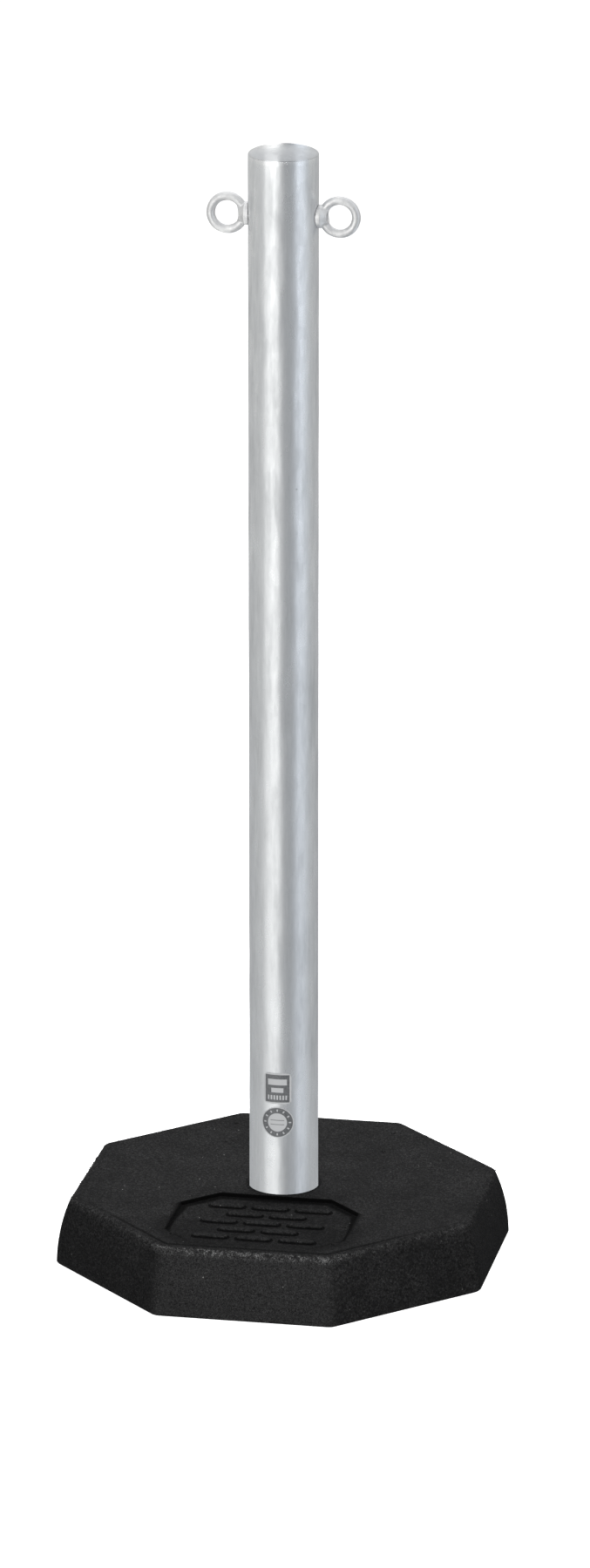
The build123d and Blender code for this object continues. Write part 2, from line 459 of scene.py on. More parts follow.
@dataclass(frozen=True)
class BondedRubber:
    """Black granules bonded in a mould: matte, finely grained, lighter where it is abraded and where a
    highlight is painted, with painted light and painted shade.
    """

    name: str = "bonded_rubber"
    # The colour of the painted shade in sheltered places and holes.
    deepest: Colour = (0.0012, 0.0012, 0.0012)
    dark: Colour = (0.006, 0.006, 0.0062)
    light: Colour = (0.052, 0.052, 0.0525)
    # The tone of painted light on the face towards the front.
    front_light: Colour = (0.062, 0.062, 0.062)
    # The tone of abrasion and of a painted highlight on the front edges.
    worn_and_lit: Colour = (0.24, 0.24, 0.24)
    speck: Colour = (0.3, 0.3, 0.29)
    granules: float = 640.0
    grain: Cloud = (1400, 2, 0.7)
    clump: Cloud = (520, 2, 0.6)
    cloud: Cloud = (22, 4, 0.55)
    patch: Cloud = (240, 4, 0.75)
    swell: Cloud = (130, 3, 0.55)
    grain_tone: Span = (0.35, 0.7, 0, 1)
    granule_tone: Span = (0, 1, 0.3, 1.2)
    clump_tone: Span = (0.35, 0.65, 0.6, 1.4)
    cloud_tone: Span = (0.3, 0.7, 0.7, 1.2)
    # How the painted light on the front face follows the grain.
    painted_light_tone: Span = (0.38, 0.66, 0, 0.55)
    # How far the painted shade goes towards its darkest colour.
    painted_shade_share: float = 0.95
    # These two make the abrasion and its painted highlight patchy and grainy.
    patch_wear_and_highlight: Span = (0.44, 0.6, 0, 1)
    grain_wear_and_highlight: Span = (0.47, 0.62, 0.05, 1)
    specks: float = 230.0
    speck_reach: float = 0.13
    speck_odds: Span = (0, 1, 0.965, 0.82)
    speck_cloud: Span = (0.35, 0.65, 0.25, 1)
    gloss: Span = (0, 1, 0.8, 0.96)
    specular: float = 0.025
    depths: Triple = (0.28, 0.32, 0.28)
    relief: float = 1.0

    def tone(self, recipe: Recipe, grain: Socket, pick: Socket, cloud: Socket) -> Socket:
        """How light each granule is.

        Args:
            recipe: The material's nodes.
            grain: Fine noise.
            pick: A random number for each granule.
            cloud: Broad noise.

        Returns:
            The product of the three, each mapped to its own range, and of faint clumps.
        """
        clump = recipe.span(recipe.noise(recipe.coordinates, *self.clump), *self.clump_tone)
        fine = recipe.product(recipe.span(grain, *self.grain_tone), recipe.span(pick, *self.granule_tone))
        return recipe.product(fine, recipe.product(recipe.span(cloud, *self.cloud_tone), clump))

    def pale_specks(self, recipe: Recipe, wear_and_highlight: Socket, cloud: Socket) -> Socket:
        """Where a granule is a pale speck.

        Args:
            recipe: The material's nodes.
            wear_and_highlight: How abraded the surface is, and how strongly a highlight is painted on it.
            cloud: Broad noise.

        Returns:
            The share of pale tone: spots in the few cells whose number beats odds that wear
            betters, fainter in the gaps of the clouds.
        """
        spot, chance = recipe.cells(recipe.coordinates, self.specks)
        spotted = recipe.maths("LESS_THAN", spot, self.speck_reach)
        drawn = recipe.maths("GREATER_THAN", chance, recipe.span(wear_and_highlight, *self.speck_odds))
        return recipe.product(spotted, drawn, recipe.span(cloud, *self.speck_cloud))

    def material(self) -> bpy.types.Material:
        """Builds the material.

        Returns:
            Granule cells and fine grain tint the rubber, one attribute paints light on the face
            towards the front, another paints shade at the foot of walls and in other sheltered
            places, a third lightens the edges in patches as abrasion and as a painted highlight
            strongest in front, and a few granules are pale specks.
        """
        recipe = Recipe(self.name)
        place = recipe.coordinates
        middle, pick = recipe.cells(place, self.granules)
        grain = recipe.noise(place, *self.grain)
        cloud = recipe.noise(place, *self.cloud)
        wear_and_highlight = recipe.attribute("wear_and_highlight")
        patches = recipe.span(recipe.noise(place, *self.patch), *self.patch_wear_and_highlight)
        colour = recipe.blend(self.tone(recipe, grain, pick, cloud), self.dark, self.light)
        for share, tint in (
            # Painted light on the face towards the front.
            (recipe.product(recipe.attribute("painted_light"), recipe.span(grain, *self.painted_light_tone)), self.front_light),
            # Painted shade at the foot of walls, in holes, round the tube and along the groove.
            (recipe.product(recipe.attribute("painted_shade"), self.painted_shade_share), self.deepest),
            # Abrasion and a painted highlight on the edges, strongest in front.
            (recipe.product(wear_and_highlight, patches, recipe.span(grain, *self.grain_wear_and_highlight)), self.worn_and_lit),
            (self.pale_specks(recipe, wear_and_highlight, cloud), self.speck),
        ):
            colour = recipe.blend(share, colour, tint)
        gloss = recipe.span(pick, *self.gloss)
        recipe.set(Base_Color=colour, Roughness=gloss, Specular_IOR_Level=self.specular)
        heights = (recipe.noise(place, *self.swell), middle, grain)
        recipe.bumps(*((height, depth * self.relief) for height, depth in zip(heights, self.depths)))
        return recipe.material


@dataclass(frozen=True)
class Zinc:
    """A zinc coat on steel, with spangles, drawn-out streaks and dull patches."""

    name: str
    light: Colour = (0.8, 0.81, 0.82)
    dull: Colour = (0.55, 0.56, 0.57)
    dark: Colour = (0.25, 0.25, 0.25)
    metallic: float = 0.8
    smooth: float = 0.22
    rough: float = 0.44
    spangles: float = 150.0
    spangle_length: float = 0.6
    streak: float = 0.12
    least_patch: float = 0.3
    streaks: Cloud = (190, 5, 0.65)
    patches: Cloud = (38, 4, 0.6)
    fine: Cloud = (900, 2, 0.55)
    streak_tone: Span = (0.25, 0.75, 0, 0.5)
    patch_tone: Span = (0.3, 0.7, 0, 0.5)
    spangle_tone: Span = (0, 1, -0.05, 0.05)
    whole_tone: Span = (0.15, 0.85, 0, 1)
    spangle_gloss: Span = (0, 1, -0.02, 0.02)
    dross: float = 60.0
    dross_spot: Span = (0.03, 0.07, 1, 0)
    dross_odds: float = 0.95
    dross_share: float = 0.5
    relief: float = 0.05
    patch_relief: float = 3.0
    fine_relief: float = 0.3

    def material(self) -> bpy.types.Material:
        """Builds the material.

        Returns:
            Spangle cells, clouds and streaks along Z share out the tint, the gloss and a
            shallow relief, with a few small dark dross spots.
        """
        recipe = Recipe(self.name)
        place = recipe.coordinates
        streaks = recipe.noise(recipe.stretched((1, 1, self.streak)), *self.streaks)
        patches = recipe.noise(recipe.stretched((1, 1, max(self.streak, self.least_patch))), *self.patches)
        pick = recipe.cells(recipe.stretched((1, 1, self.spangle_length)), self.spangles)[1]
        tone = recipe.span(streaks, *self.streak_tone)
        for layer, share in ((patches, self.patch_tone), (pick, self.spangle_tone)):
            tone = recipe.maths("ADD", tone, recipe.span(layer, *share))
        colour = recipe.blend(recipe.span(tone, *self.whole_tone), self.light, self.dull)
        spot, chance = recipe.cells(place, self.dross)
        drawn = recipe.maths("GREATER_THAN", chance, self.dross_odds)
        dross = recipe.product(recipe.span(spot, *self.dross_spot), drawn, self.dross_share)
        gloss = recipe.span(tone, 0.1, 0.9, self.smooth, self.rough)
        gloss = recipe.maths("ADD", gloss, recipe.span(pick, *self.spangle_gloss))
        colour = recipe.blend(dross, colour, self.dark)
        recipe.set(Base_Color=colour, Roughness=gloss, Metallic=self.metallic)
        fine = recipe.noise(place, *self.fine)
        layers = ((patches, self.patch_relief), (streaks, 1), (fine, self.fine_relief))
        recipe.bumps(*((height, self.relief * share) for height, share in layers))
        return recipe.material


@dataclass(frozen=True)
class LabelFilm:
    """A printed plastic film with a generic print, sizes in millimetres from its middle."""

    name: str
    design: Print
    centre_height: float
    ink: Colour = (0.11, 0.115, 0.12)
    paper: Colour = (0.62, 0.63, 0.64)
    fade: Span = (0.3, 0.7, 0.85, 1)
    gloss: Span = (0.3, 0.7, 0.34, 0.5)
    soft: float = 0.12
    blur: float = 0.3
    plate: tuple[float, float] = (10.4, 12.4)
    blanks: tuple[Triple, Triple] = ((3.2, 8.6, 8.2), (-3.6, 0.6, 5.2))
    bars: Triple = (-10.2, -6.2, 8.2)
    bar_pitch: float = 1.3
    bar_edge: Span = (0.6, 0.8, 1, 0)
    ring: tuple[float, float] = (8.4, 13.3)
    tick: tuple[float, float] = (9.9, 11.9)
    tick_edge: Span = (0.045, 0.06, 1, 0)
    ticks: int = 12
    lines: Triple = (1.6, 2.3, 6.2)
    line_ink: float = 0.8

    def material(self) -> bpy.types.Material:
        """Builds the material.

        Returns:
            A slightly mottled film whose ink follows the distance from the label's centre.
        """
        recipe = Recipe(self.name)
        place = recipe.coordinates
        centred = recipe.stretched((1 / MM, 1 / MM, 1 / MM), (0, 0, -self.centre_height))
        split = recipe.add("SeparateXYZ", {0: centred}).outputs
        design = self.fields if self.design is Print.FIELDS else self.dial
        inked = design(recipe, split["X"], split["Z"])
        fade = recipe.span(recipe.noise(place, 600, 4), *self.fade)
        colour = recipe.blend(recipe.product(inked, fade), self.paper, self.ink)
        recipe.set(Base_Color=colour, Roughness=recipe.span(recipe.noise(place, 120), *self.gloss))
        recipe.bumps((recipe.noise(place, 160, 2), 0.04), (inked, 0.01))
        return recipe.material

    def between(self, recipe: Recipe, value: Socket, low: float, high: float) -> Socket:
        """Marks a stretch between two limits.

        Args:
            recipe: The material's nodes.
            value: A distance in millimetres.
            low: The lower limit.
            high: The upper limit.

        Returns:
            1 between the limits, with a soft edge, and 0 elsewhere.
        """
        rise = recipe.span(value, low - self.soft, low + self.soft, 0, 1)
        return recipe.product(rise, recipe.span(value, high - self.soft, high + self.soft, 1, 0))

    def within(self, recipe: Recipe, value: Socket, limit: float) -> Socket:
        """1 up to a limit, falling to 0 a little past it."""
        return recipe.span(value, limit, limit + self.blur, 1, 0)

    def fields(self, recipe: Recipe, across: Socket, up: Socket) -> Socket:
        """A dark plate with a pale border line, two blank fields and a row of short bars.

        Args:
            recipe: The material's nodes.
            across: Millimetres to the right of the label's middle.
            up: Millimetres above it.

        Returns:
            1 where there is ink.
        """
        width, height = recipe.maths("ABSOLUTE", across), recipe.maths("ABSOLUTE", up)
        upper, lower, bars = (
            recipe.product(self.between(recipe, up, low, high), self.within(recipe, width, side))
            for low, high, side in (*self.blanks, self.bars)
        )
        stripes = recipe.span(recipe.maths("PINGPONG", across, self.bar_pitch), *self.bar_edge)
        blank = recipe.maths("MAXIMUM", recipe.maths("MAXIMUM", upper, lower), recipe.product(bars, stripes))
        inside = recipe.product(*(self.within(recipe, *pair) for pair in zip((width, height), self.plate)))
        return recipe.product(inside, recipe.maths("SUBTRACT", 1.0, blank))

    def dial(self, recipe: Recipe, across: Socket, up: Socket) -> Socket:
        """A dark ring with pale ticks round a pale middle with two thin lines.

        Args:
            recipe: The material's nodes.
            across: Millimetres to the right of the label's middle.
            up: Millimetres above it.

        Returns:
            1 where there is ink.
        """
        squares = recipe.maths("ADD", recipe.product(across, across), recipe.product(up, up))
        reach = recipe.maths("SQRT", squares)
        turn = recipe.maths("PINGPONG", recipe.maths("ARCTAN2", up, across), math.pi / self.ticks)
        tick = recipe.product(recipe.span(turn, *self.tick_edge), self.between(recipe, reach, *self.tick))
        ring = self.between(recipe, reach, *self.ring)
        ring = recipe.product(ring, recipe.maths("SUBTRACT", 1.0, tick))
        low, high, side = self.lines
        lines = self.between(recipe, recipe.maths("ABSOLUTE", up), low, high)
        lines = recipe.product(lines, self.within(recipe, reach, side), self.line_ink)
        return recipe.maths("MAXIMUM", ring, lines)


@dataclass(frozen=True)
class Finishes:
    """Every finish of the post, made once and shared."""

    rubber: bpy.types.Material
    tread: bpy.types.Material
    tube: bpy.types.Material
    cap: bpy.types.Material
    forging: bpy.types.Material
    plated: bpy.types.Material
    plate: bpy.types.Material
    weld: bpy.types.Material

    @classmethod
    def make(cls) -> "Finishes":
        """Builds the shared materials.

        Returns:
            The set of finishes.
        """
        cap = Zinc(
            "zinc_cap_finish", light=(0.62, 0.63, 0.64), dull=(0.52, 0.53, 0.54), metallic=0.95,
            smooth=0.16, rough=0.26, relief=0.03,
        )
        forging = Zinc(
            "zinc_forging_finish", light=(0.8, 0.8, 0.8), dull=(0.62, 0.62, 0.62), metallic=0.7,
            smooth=0.36, rough=0.5, spangles=420, streak=1.0, relief=0.09,
        )
        plated = Zinc(
            "zinc_plated_finish", light=(0.82, 0.83, 0.85), dull=(0.66, 0.67, 0.7), metallic=0.95,
            smooth=0.22, rough=0.34, spangles=900, streak=1.0, relief=0.01,
        )
        weld = Zinc(
            "zinc_weld_finish", light=(0.66, 0.66, 0.66), dull=(0.42, 0.42, 0.42), metallic=0.7,
            smooth=0.45, rough=0.65, spangles=500, streak=1.0, relief=0.2,
        )
        plate = Zinc("zinc_plate_finish", metallic=0.75, smooth=0.34, rough=0.55, streak=1.0, relief=0.06)
        rubber, tread = BondedRubber(), BondedRubber("tread_rubber", relief=0.8)
        finishes = (rubber, tread, Zinc("zinc_tube_finish"), cap, forging, plated, plate, weld)
        return cls(*(finish.material() for finish in finishes))


def dressed(
    piece: bpy.types.Object, finish: bpy.types.Material, slot: Slot, *nodes: str
) -> bpy.types.Object:
    """Gives a piece its finish and ties it to the frame.

    Args:
        piece: A finished object at the origin.
        finish: Its material.
        slot: The record's slot of that material; not used.
        nodes: The nodes of the frame that it stands for.

    Returns:
        The same piece.
    """
    piece.data.materials.clear()
    piece.data.materials.append(finish)
    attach(piece, "root")
    if nodes:
        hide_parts(*nodes)
    LOG.info("%s: %d faces", piece.name, len(piece.data.polygons))
    return piece


# ---- the rubber base ---------------------------------------------------------
@dataclass(frozen=True)
class PanelOutline:
    """The sunken panel's outline: a rectangle with its corners cut off."""

    half_width: float = 78.0
    far_edge: float = 36.15
    near_edge: float = 162.0
    cut: float = 29.0
    depth: float = 3.0
    wall: float = 1.0

    @property
    def centre(self) -> float:
        """Where the panel's middle lies along Y."""
        return -(self.far_edge + self.near_edge) / 2

    def edges(self, spread: float) -> tuple[np.ndarray, np.ndarray]:
        """The eight edge lines, moved outwards by spread.

        Args:
            spread: Millimetres, negative to move inwards.

        Returns:
            Unit normals, and each line's distance from the post's axis.
        """
        half_length = (self.near_edge - self.far_edge) / 2
        slant = 1 / math.sqrt(2)
        straight = [(x, 0, self.half_width) for x in (1, -1)]
        straight += [(0, y, half_length + y * self.centre) for y in (1, -1)]
        span = self.half_width + half_length - self.cut
        slanted = [
            (x * slant, y * slant, (span + y * self.centre) * slant) for x in (-1, 1) for y in (-1, 1)
        ]
        lines = np.array(straight + slanted, float)
        return lines[:, :2], lines[:, 2] + spread

    def outside(self, x: np.ndarray, y: np.ndarray) -> np.ndarray:
        """How far points lie outside the outline, negative inside it."""
        normals, reach = self.edges(0)
        return (x[..., None] * normals[:, 0] + y[..., None] * normals[:, 1] - reach).max(axis=-1)

    def crossings(self, angle: np.ndarray, spread: float) -> tuple[np.ndarray, np.ndarray]:
        """Where rays from the post's axis enter and leave the outline.

        Args:
            angle: Each ray's direction.
            spread: How far the outline is moved outwards.

        Returns:
            Both distances, equal and halfway between on a ray that misses.
        """
        normals, reach = self.edges(spread)
        facing = np.stack([np.cos(angle), np.sin(angle)], axis=1) @ normals.T
        with np.errstate(divide="ignore", invalid="ignore"):
            distance = reach / facing
        entry = np.where(facing < -ALMOST_NONE, distance, -np.inf).max(axis=1)
        leave = np.where(facing > ALMOST_NONE, distance, np.inf).min(axis=1)
        missed, middle = entry > leave, (entry + leave) / 2
        return np.where(missed, middle, entry), np.where(missed, middle, leave)

    def sunk(self, x: np.ndarray, y: np.ndarray) -> np.ndarray:
        """How far the deck is sunk at a point, eased over the width of the wall."""
        return self.depth * smooth_step(-self.outside(x, y), -self.wall / 2, self.wall / 2)


@dataclass
class Rings:
    """The rows of the base's skin, one ring of points each."""

    angle: np.ndarray
    radii: list[np.ndarray] = field(default_factory=list)
    heights: list[np.ndarray] = field(default_factory=list)
    inwards: list[tuple[float, float]] = field(default_factory=list)
    give: list[float] = field(default_factory=list)
    # Abrasion with a painted highlight, for each ring.
    wear_and_highlight: list[float] = field(default_factory=list)
    # Painted light, for each ring.
    painted_light: list[float] = field(default_factory=list)

    def add(
        self, radius: Reach, height: Reach, facing: float,
        give: float = 0, wear_and_highlight: float = 0, painted_light: float = 0,
    ) -> None:
        """Adds a ring.

        Args:
            radius: Distance from the axis, one number or one for each angle.
            height: Height, one number or one for each angle.
            facing: Which way the skin faces in degrees, 0 being outwards and 90 up.
            give: How far its unevenness reaches inwards.
            wear_and_highlight: How abraded it is and how strongly a highlight is painted on it, 0 to 1.
            painted_light: How much painted light lightens it, 0 to 1.
        """
        self.radii.append(np.broadcast_to(radius, self.angle.shape))
        self.heights.append(np.broadcast_to(height, self.angle.shape))
        self.inwards.append((-math.cos(math.radians(facing)), -math.sin(math.radians(facing))))
        self.give.append(give)
        self.wear_and_highlight.append(wear_and_highlight)
        self.painted_light.append(painted_light)

    def laid(self, radius: np.ndarray, height: np.ndarray) -> np.ndarray:
        """Points of the rings, from their distances and heights."""
        return np.stack([radius * np.cos(self.angle), radius * np.sin(self.angle), height], axis=-1)

    def moulded(self, unevenness: Callable[[np.ndarray], np.ndarray]) -> np.ndarray:
        """The grid of points, each moved inwards by its give times the unevenness there.

        Args:
            unevenness: Gives a number from 0 to 1 for each point.

        Returns:
            One row of points for each ring.
        """
        radius, height = np.stack(self.radii), np.stack(self.heights)
        depth = np.array(self.give)[:, None] * unevenness(self.laid(radius, height))
        inward = np.array(self.inwards)
        return self.laid(radius + depth * inward[:, :1], height + depth * inward[:, 1:])


@dataclass(frozen=True)
class Shade:
    """How dark the painted shade in the deck's sheltered places is, and over how many millimetres it fades.
    """

    far_side: Rise = (-10, 45)
    wall_top: Rise = (-1.2, -0.4)
    wall_near: Rise = (1.6, 3.6)
    wall_far: Rise = (3.2, 6.4)
    floor: float = 0.22
    floor_rise: float = 2.0
    border: float = 0.36
    border_reach: Rise = (6, 16)
    tube: float = 0.6
    tube_reach: Rise = (0.8, 4)
    groove: float = 0.9


@dataclass
class RubberBase:
    """The octagonal base: leaning rounded sides, a sunken panel and a sink line in its deck."""

    outline: PanelOutline = PanelOutline()
    shade: Shade = Shade()
    lean: float = 12.5
    corner: float = 12.0
    deck_radius: float = 6.0
    floor_chamfer: float = 1.5
    bore: float = 30.5
    bore_lip: float = 1.0
    bore_foot: float = 12.0
    weld_room: float = 35.15
    weld_room_top: float = 7.0
    pocket: float = 70.5
    pocket_top: float = 6.0
    give: float = 0.28
    groove_inset: float = 2.2
    groove_width: float = 1.8
    groove_depth: float = 0.35
    groove_behind: float = 0.12
    groove_front: Rise = (0.3, 0.95)
    strip: float = 2.4
    deck_rows: tuple[int, ...] = (8, 3, 42, 3, 8, 7)
    least_row: float = 0.12
    panel_angles: Rise = (math.radians(54), math.radians(64))
    even_rays: int = 400
    corner_rays: tuple[float, int] = (2.4, 13)
    tip_fan: tuple[float, float, int] = (0.03, 0.08, 40)
    least_turn: float = 0.0012
    bore_rows: int = 9
    lip_rows: int = 4
    edge_rows: int = 12
    side_rows: int = 18
    side_crowding: float = 1.4
    floor_rows: int = 14
    floor_give: float = 0.22
    broad_cell: Triple = (26, 26, 26)
    fine_cell: Triple = (3.4, 3.4, 3.4)
    broad_share: float = 0.36
    fine_share: float = 0.22
    edge_give: float = 0.9
    # How the abrasion and its painted highlight spread over the edge and the side, stronger in front.
    edge_wear_and_highlight: Rise = (0.3, 0.62)
    side_wear_and_highlight: float = 3.5
    side_foot: float = 5.0
    wear_and_highlight_front: Rise = (0.8, 0.95)
    wear_and_highlight_behind: float = 0.2
    # Where painted light lightens the face towards the front.
    painted_light_front: Rise = (0.9, 0.94)
    seed: int = 41

    def __post_init__(self) -> None:
        """Reads the floor size and the height from the frame."""
        low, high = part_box("rubber_base")
        self.half = float(high.x - low.x) / MM / 2
        self.height = float(high.z) / MM
        self.noise = LatticeNoise(self.seed)
        self.side_radius = (self.height**2 + self.lean**2) / (2 * self.lean)
        self.side_centre = self.half - self.side_radius
        reach = self.side_radius - self.deck_radius
        self.edge_height = self.height - self.deck_radius
        self.edge_centre = self.side_centre + math.sqrt(reach**2 - self.edge_height**2)
        self.edge_turn = math.degrees(math.atan2(self.edge_height, self.edge_centre - self.side_centre))

    def octagon(self, angle: np.ndarray, flat: float, corner: float) -> np.ndarray:
        """Distance from the axis to a rounded octagon along each ray.

        Args:
            angle: Each ray's direction.
            flat: Distance from the axis to the flat sides.
            corner: Radius of the rounded corners.

        Returns:
            flat over the cosine of the angle to the nearest side's normal, and on a corner
            the far crossing of the ray with the corner's circle.
        """
        fold = np.abs((angle + HALF_SIDE) % OCTAGON_TURN - HALF_SIDE)
        centre = (flat - corner) / math.cos(HALF_SIDE)
        off = HALF_SIDE - fold
        rounded = centre * np.cos(off) + np.sqrt(np.maximum(corner**2 - (centre * np.sin(off)) ** 2, 0))
        on_side = flat * np.tan(fold) <= (flat - corner) * math.tan(HALF_SIDE)
        return np.where(on_side, flat / np.cos(fold), rounded)

    def angles(self) -> np.ndarray:
        """Ray directions: even steps, closer at the corners and on the panel's own corners.

        Returns:
            Increasing angles round the whole turn.
        """
        even = np.linspace(0, FULL_TURN, self.even_rays, endpoint=False)
        reach, count = self.corner_rays
        middles = HALF_SIDE + OCTAGON_TURN * np.arange(8)
        corners = middles[:, None] + np.radians(np.linspace(-reach, reach, count))
        outline, slant = self.outline, math.tan(HALF_SIDE)
        tips = []
        for spread in (-outline.wall / 2, outline.wall / 2):
            side = outline.half_width + spread
            trimmed = outline.half_width - outline.cut + spread * slant
            far, near = outline.far_edge - spread, outline.near_edge + spread
            slope = outline.cut + spread * slant
            points = [(trimmed, far), (side, far + slope), (side, near - slope), (trimmed, near)]
            tips += [math.atan2(-y, turn * x) for x, y in points for turn in (-1, 1)]
        far_half = outline.half_width - outline.cut
        left, right = (math.atan2(-outline.far_edge, x) for x in (-far_half, far_half))
        out, back, count = self.tip_fan
        fans = [np.linspace(left - out, left + back, count), np.linspace(right - back, right + out, count)]
        every = np.concatenate([even, corners.ravel(), np.array(tips), *fans]) % FULL_TURN
        every = np.unique(np.round(every, 6))
        return every[np.concatenate([[True], np.diff(every) > self.least_turn])]

    def deck_end(self, angle: np.ndarray) -> np.ndarray:
        """Distance from the axis to where the deck begins to round off, along each ray."""
        corner = self.corner - self.deck_radius * math.cos(math.radians(self.edge_turn))
        return self.octagon(angle, self.edge_centre, corner)

    def groove_strength(self, angle: np.ndarray) -> np.ndarray:
        """How deep the sink line is along each ray, 1 in front and a trace of that behind."""
        front = smooth_step(-np.sin(angle), *self.groove_front)
        return self.groove_behind + (1 - self.groove_behind) * front

    def groove(self, x: np.ndarray, y: np.ndarray) -> np.ndarray:
        """The shallow sink line inside the deck's edge.

        Args:
            x: Where it is wanted, along X.
            y: Where it is wanted, along Y.

        Returns:
            A bell across the line, as high as the line is strong in that direction.
        """
        angle = np.arctan2(y, x)
        inset = self.deck_end(angle) - np.hypot(x, y)
        bell = np.exp(-(((inset - self.groove_inset) / self.groove_width) ** 2))
        return self.groove_strength(angle) * bell

    def deck_reaches(self, angle: np.ndarray) -> np.ndarray:
        """Distances of the deck's rows along each ray, from the bore's lip to the edge.

        Args:
            angle: Each ray's direction.

        Returns:
            One row of distances for each row of the deck. Rows gather at the panel's walls,
            keep a least distance between them, and spread evenly where there is no panel.
        """
        outer, inner = (self.outline.crossings(angle, side * self.outline.wall / 2) for side in (1, -1))
        start = np.full_like(angle, self.bore + self.bore_lip)
        end = self.deck_end(angle)
        strip = end - self.strip * self.groove_inset
        counts, last = self.deck_rows, len(self.deck_rows) - 1
        shares = np.cumsum(counts[:last])[:-1] / sum(counts[:last])
        off = np.abs((angle + math.pi / 2 + math.pi) % FULL_TURN - math.pi)
        away = smooth_step(off, *self.panel_angles)
        stops = [start]
        for share, stop in zip(shares, (outer[0], inner[0], inner[1], outer[1])):
            near = np.clip(stop, start, strip)
            stops.append((1 - away) * near + away * (start + share * (strip - start)))
        stops += [strip, end]
        for place in range(1, last + 1):
            stops[place] = np.maximum(stops[place], stops[place - 1] + self.least_row * counts[place - 1])
        for place in range(last, 0, -1):
            stops[place] = np.minimum(stops[place], stops[place + 1] - self.least_row * counts[place])
        rows = [
            stops[place] + (stops[place + 1] - stops[place]) * step / count
            for place, count in enumerate(counts)
            for step in range(count)
        ]
        return np.stack(rows + [end])

    def unevenness(self, points: np.ndarray) -> np.ndarray:
        """How far the moulded skin lies inside its true shape.

        Args:
            points: Where it is wanted.

        Returns:
            Broad and fine noise about a half, from 0 to 1.
        """
        broad = self.noise.at(points, self.broad_cell)
        fine = self.noise.at(points, self.fine_cell)
        return np.clip(0.5 + self.broad_share * broad + self.fine_share * fine, 0, 1)

    def sunk(self, x: np.ndarray, y: np.ndarray) -> np.ndarray:
        """How far the deck lies below its height, in the panel and along the groove."""
        return self.outline.sunk(x, y) + self.groove_depth * self.groove(x, y)

    def deck_height(self, x: np.ndarray, y: np.ndarray) -> np.ndarray:
        """Height of the deck's skin, its panel and its unevenness included."""
        flat = np.stack([x, y, np.full_like(x, self.height)], axis=-1)
        return self.height - self.sunk(x, y) - self.give * self.unevenness(flat)

    def inner_rings(self, rings: Rings) -> None:
        """Adds the bore, its rounded lip and the deck.

        Args:
            rings: The rows so far.
        """
        lip_foot = self.height - self.bore_lip
        for height in np.linspace(self.bore_foot, lip_foot, self.bore_rows)[:-1]:
            rings.add(self.bore, height, INWARDS)
        lip = arc((self.bore + self.bore_lip, lip_foot), self.bore_lip, INWARDS, UP, self.lip_rows)
        for radius, height in lip[:-1]:
            rings.add(radius, height, UP)
        for place, reach in enumerate(self.deck_reaches(rings.angle)[:-1]):
            x, y = reach * np.cos(rings.angle), reach * np.sin(rings.angle)
            rings.add(reach, self.height - self.sunk(x, y), UP, self.give * min(1.0, place / 3))

    def outer_rings(self, rings: Rings) -> None:
        """Adds the deck's rounded edge and the leaning side.

        Args:
            rings: The rows so far.
        """
        start, rim = math.radians(UP), math.radians(self.edge_turn)
        strength = self.groove_depth * self.groove_strength(rings.angle)
        for turn in np.linspace(start, rim, self.edge_rows):
            lower = (start - turn) / (start - rim)
            flat = self.edge_centre + self.deck_radius * math.cos(turn)
            height = self.edge_height + self.deck_radius * math.sin(turn)
            corner = self.corner - self.deck_radius * (math.cos(rim) - math.cos(turn))
            away = (self.deck_radius * math.cos(turn) + self.groove_inset) / self.groove_width
            height = height - strength * math.exp(-(away**2))
            # Abrasion with a painted highlight, growing down the rounded edge.
            worn_and_lit = float(smooth_step(np.array(lower), *self.edge_wear_and_highlight))
            give = self.give * (1 + self.edge_give * lower)
            radius = self.octagon(rings.angle, flat, corner)
            # The last value is painted light, growing down the rounded edge.
            rings.add(radius, height, math.degrees(turn), give, worn_and_lit, lower**2)
        top = self.edge_height + self.deck_radius * math.sin(rim)
        fall = top - self.floor_chamfer
        for step in range(1, self.side_rows + 1):
            height = top - fall * (step / self.side_rows) ** self.side_crowding
            flat = self.side_centre + math.sqrt(self.side_radius**2 - height**2)
            # Abrasion with a painted highlight near the side's top.
            rubbed_and_lit = max(0.0, 1 - (top - height) / self.side_wear_and_highlight)
            low = max(0.0, 1 - (height - self.floor_chamfer) / self.side_foot)
            give = self.give * (1 - low + self.edge_give * rubbed_and_lit)
            # The side takes painted light in full.
            rings.add(self.octagon(rings.angle, flat, self.corner), height, OUTWARDS, give, rubbed_and_lit, 1)

    def lower_rings(self, rings: Rings) -> None:
        """Adds the underside, the pocket over the plate and the room round the weld.

        Args:
            rings: The rows so far.
        """
        edge = self.octagon(rings.angle, self.half - self.floor_chamfer, self.corner - self.floor_chamfer)
        rings.add(edge, 0, DOWN)
        for share in np.linspace(0, 1, self.floor_rows)[1:-1]:
            rings.add(edge + (self.pocket - edge) * share, 0, DOWN, self.floor_give)
        for height in np.linspace(0, self.pocket_top, 3):
            rings.add(self.pocket, height, INWARDS)
        for radius in np.linspace(self.pocket, self.weld_room, 6)[1:]:
            rings.add(radius, self.pocket_top, DOWN)
        rings.add(self.weld_room, self.weld_room_top, INWARDS)

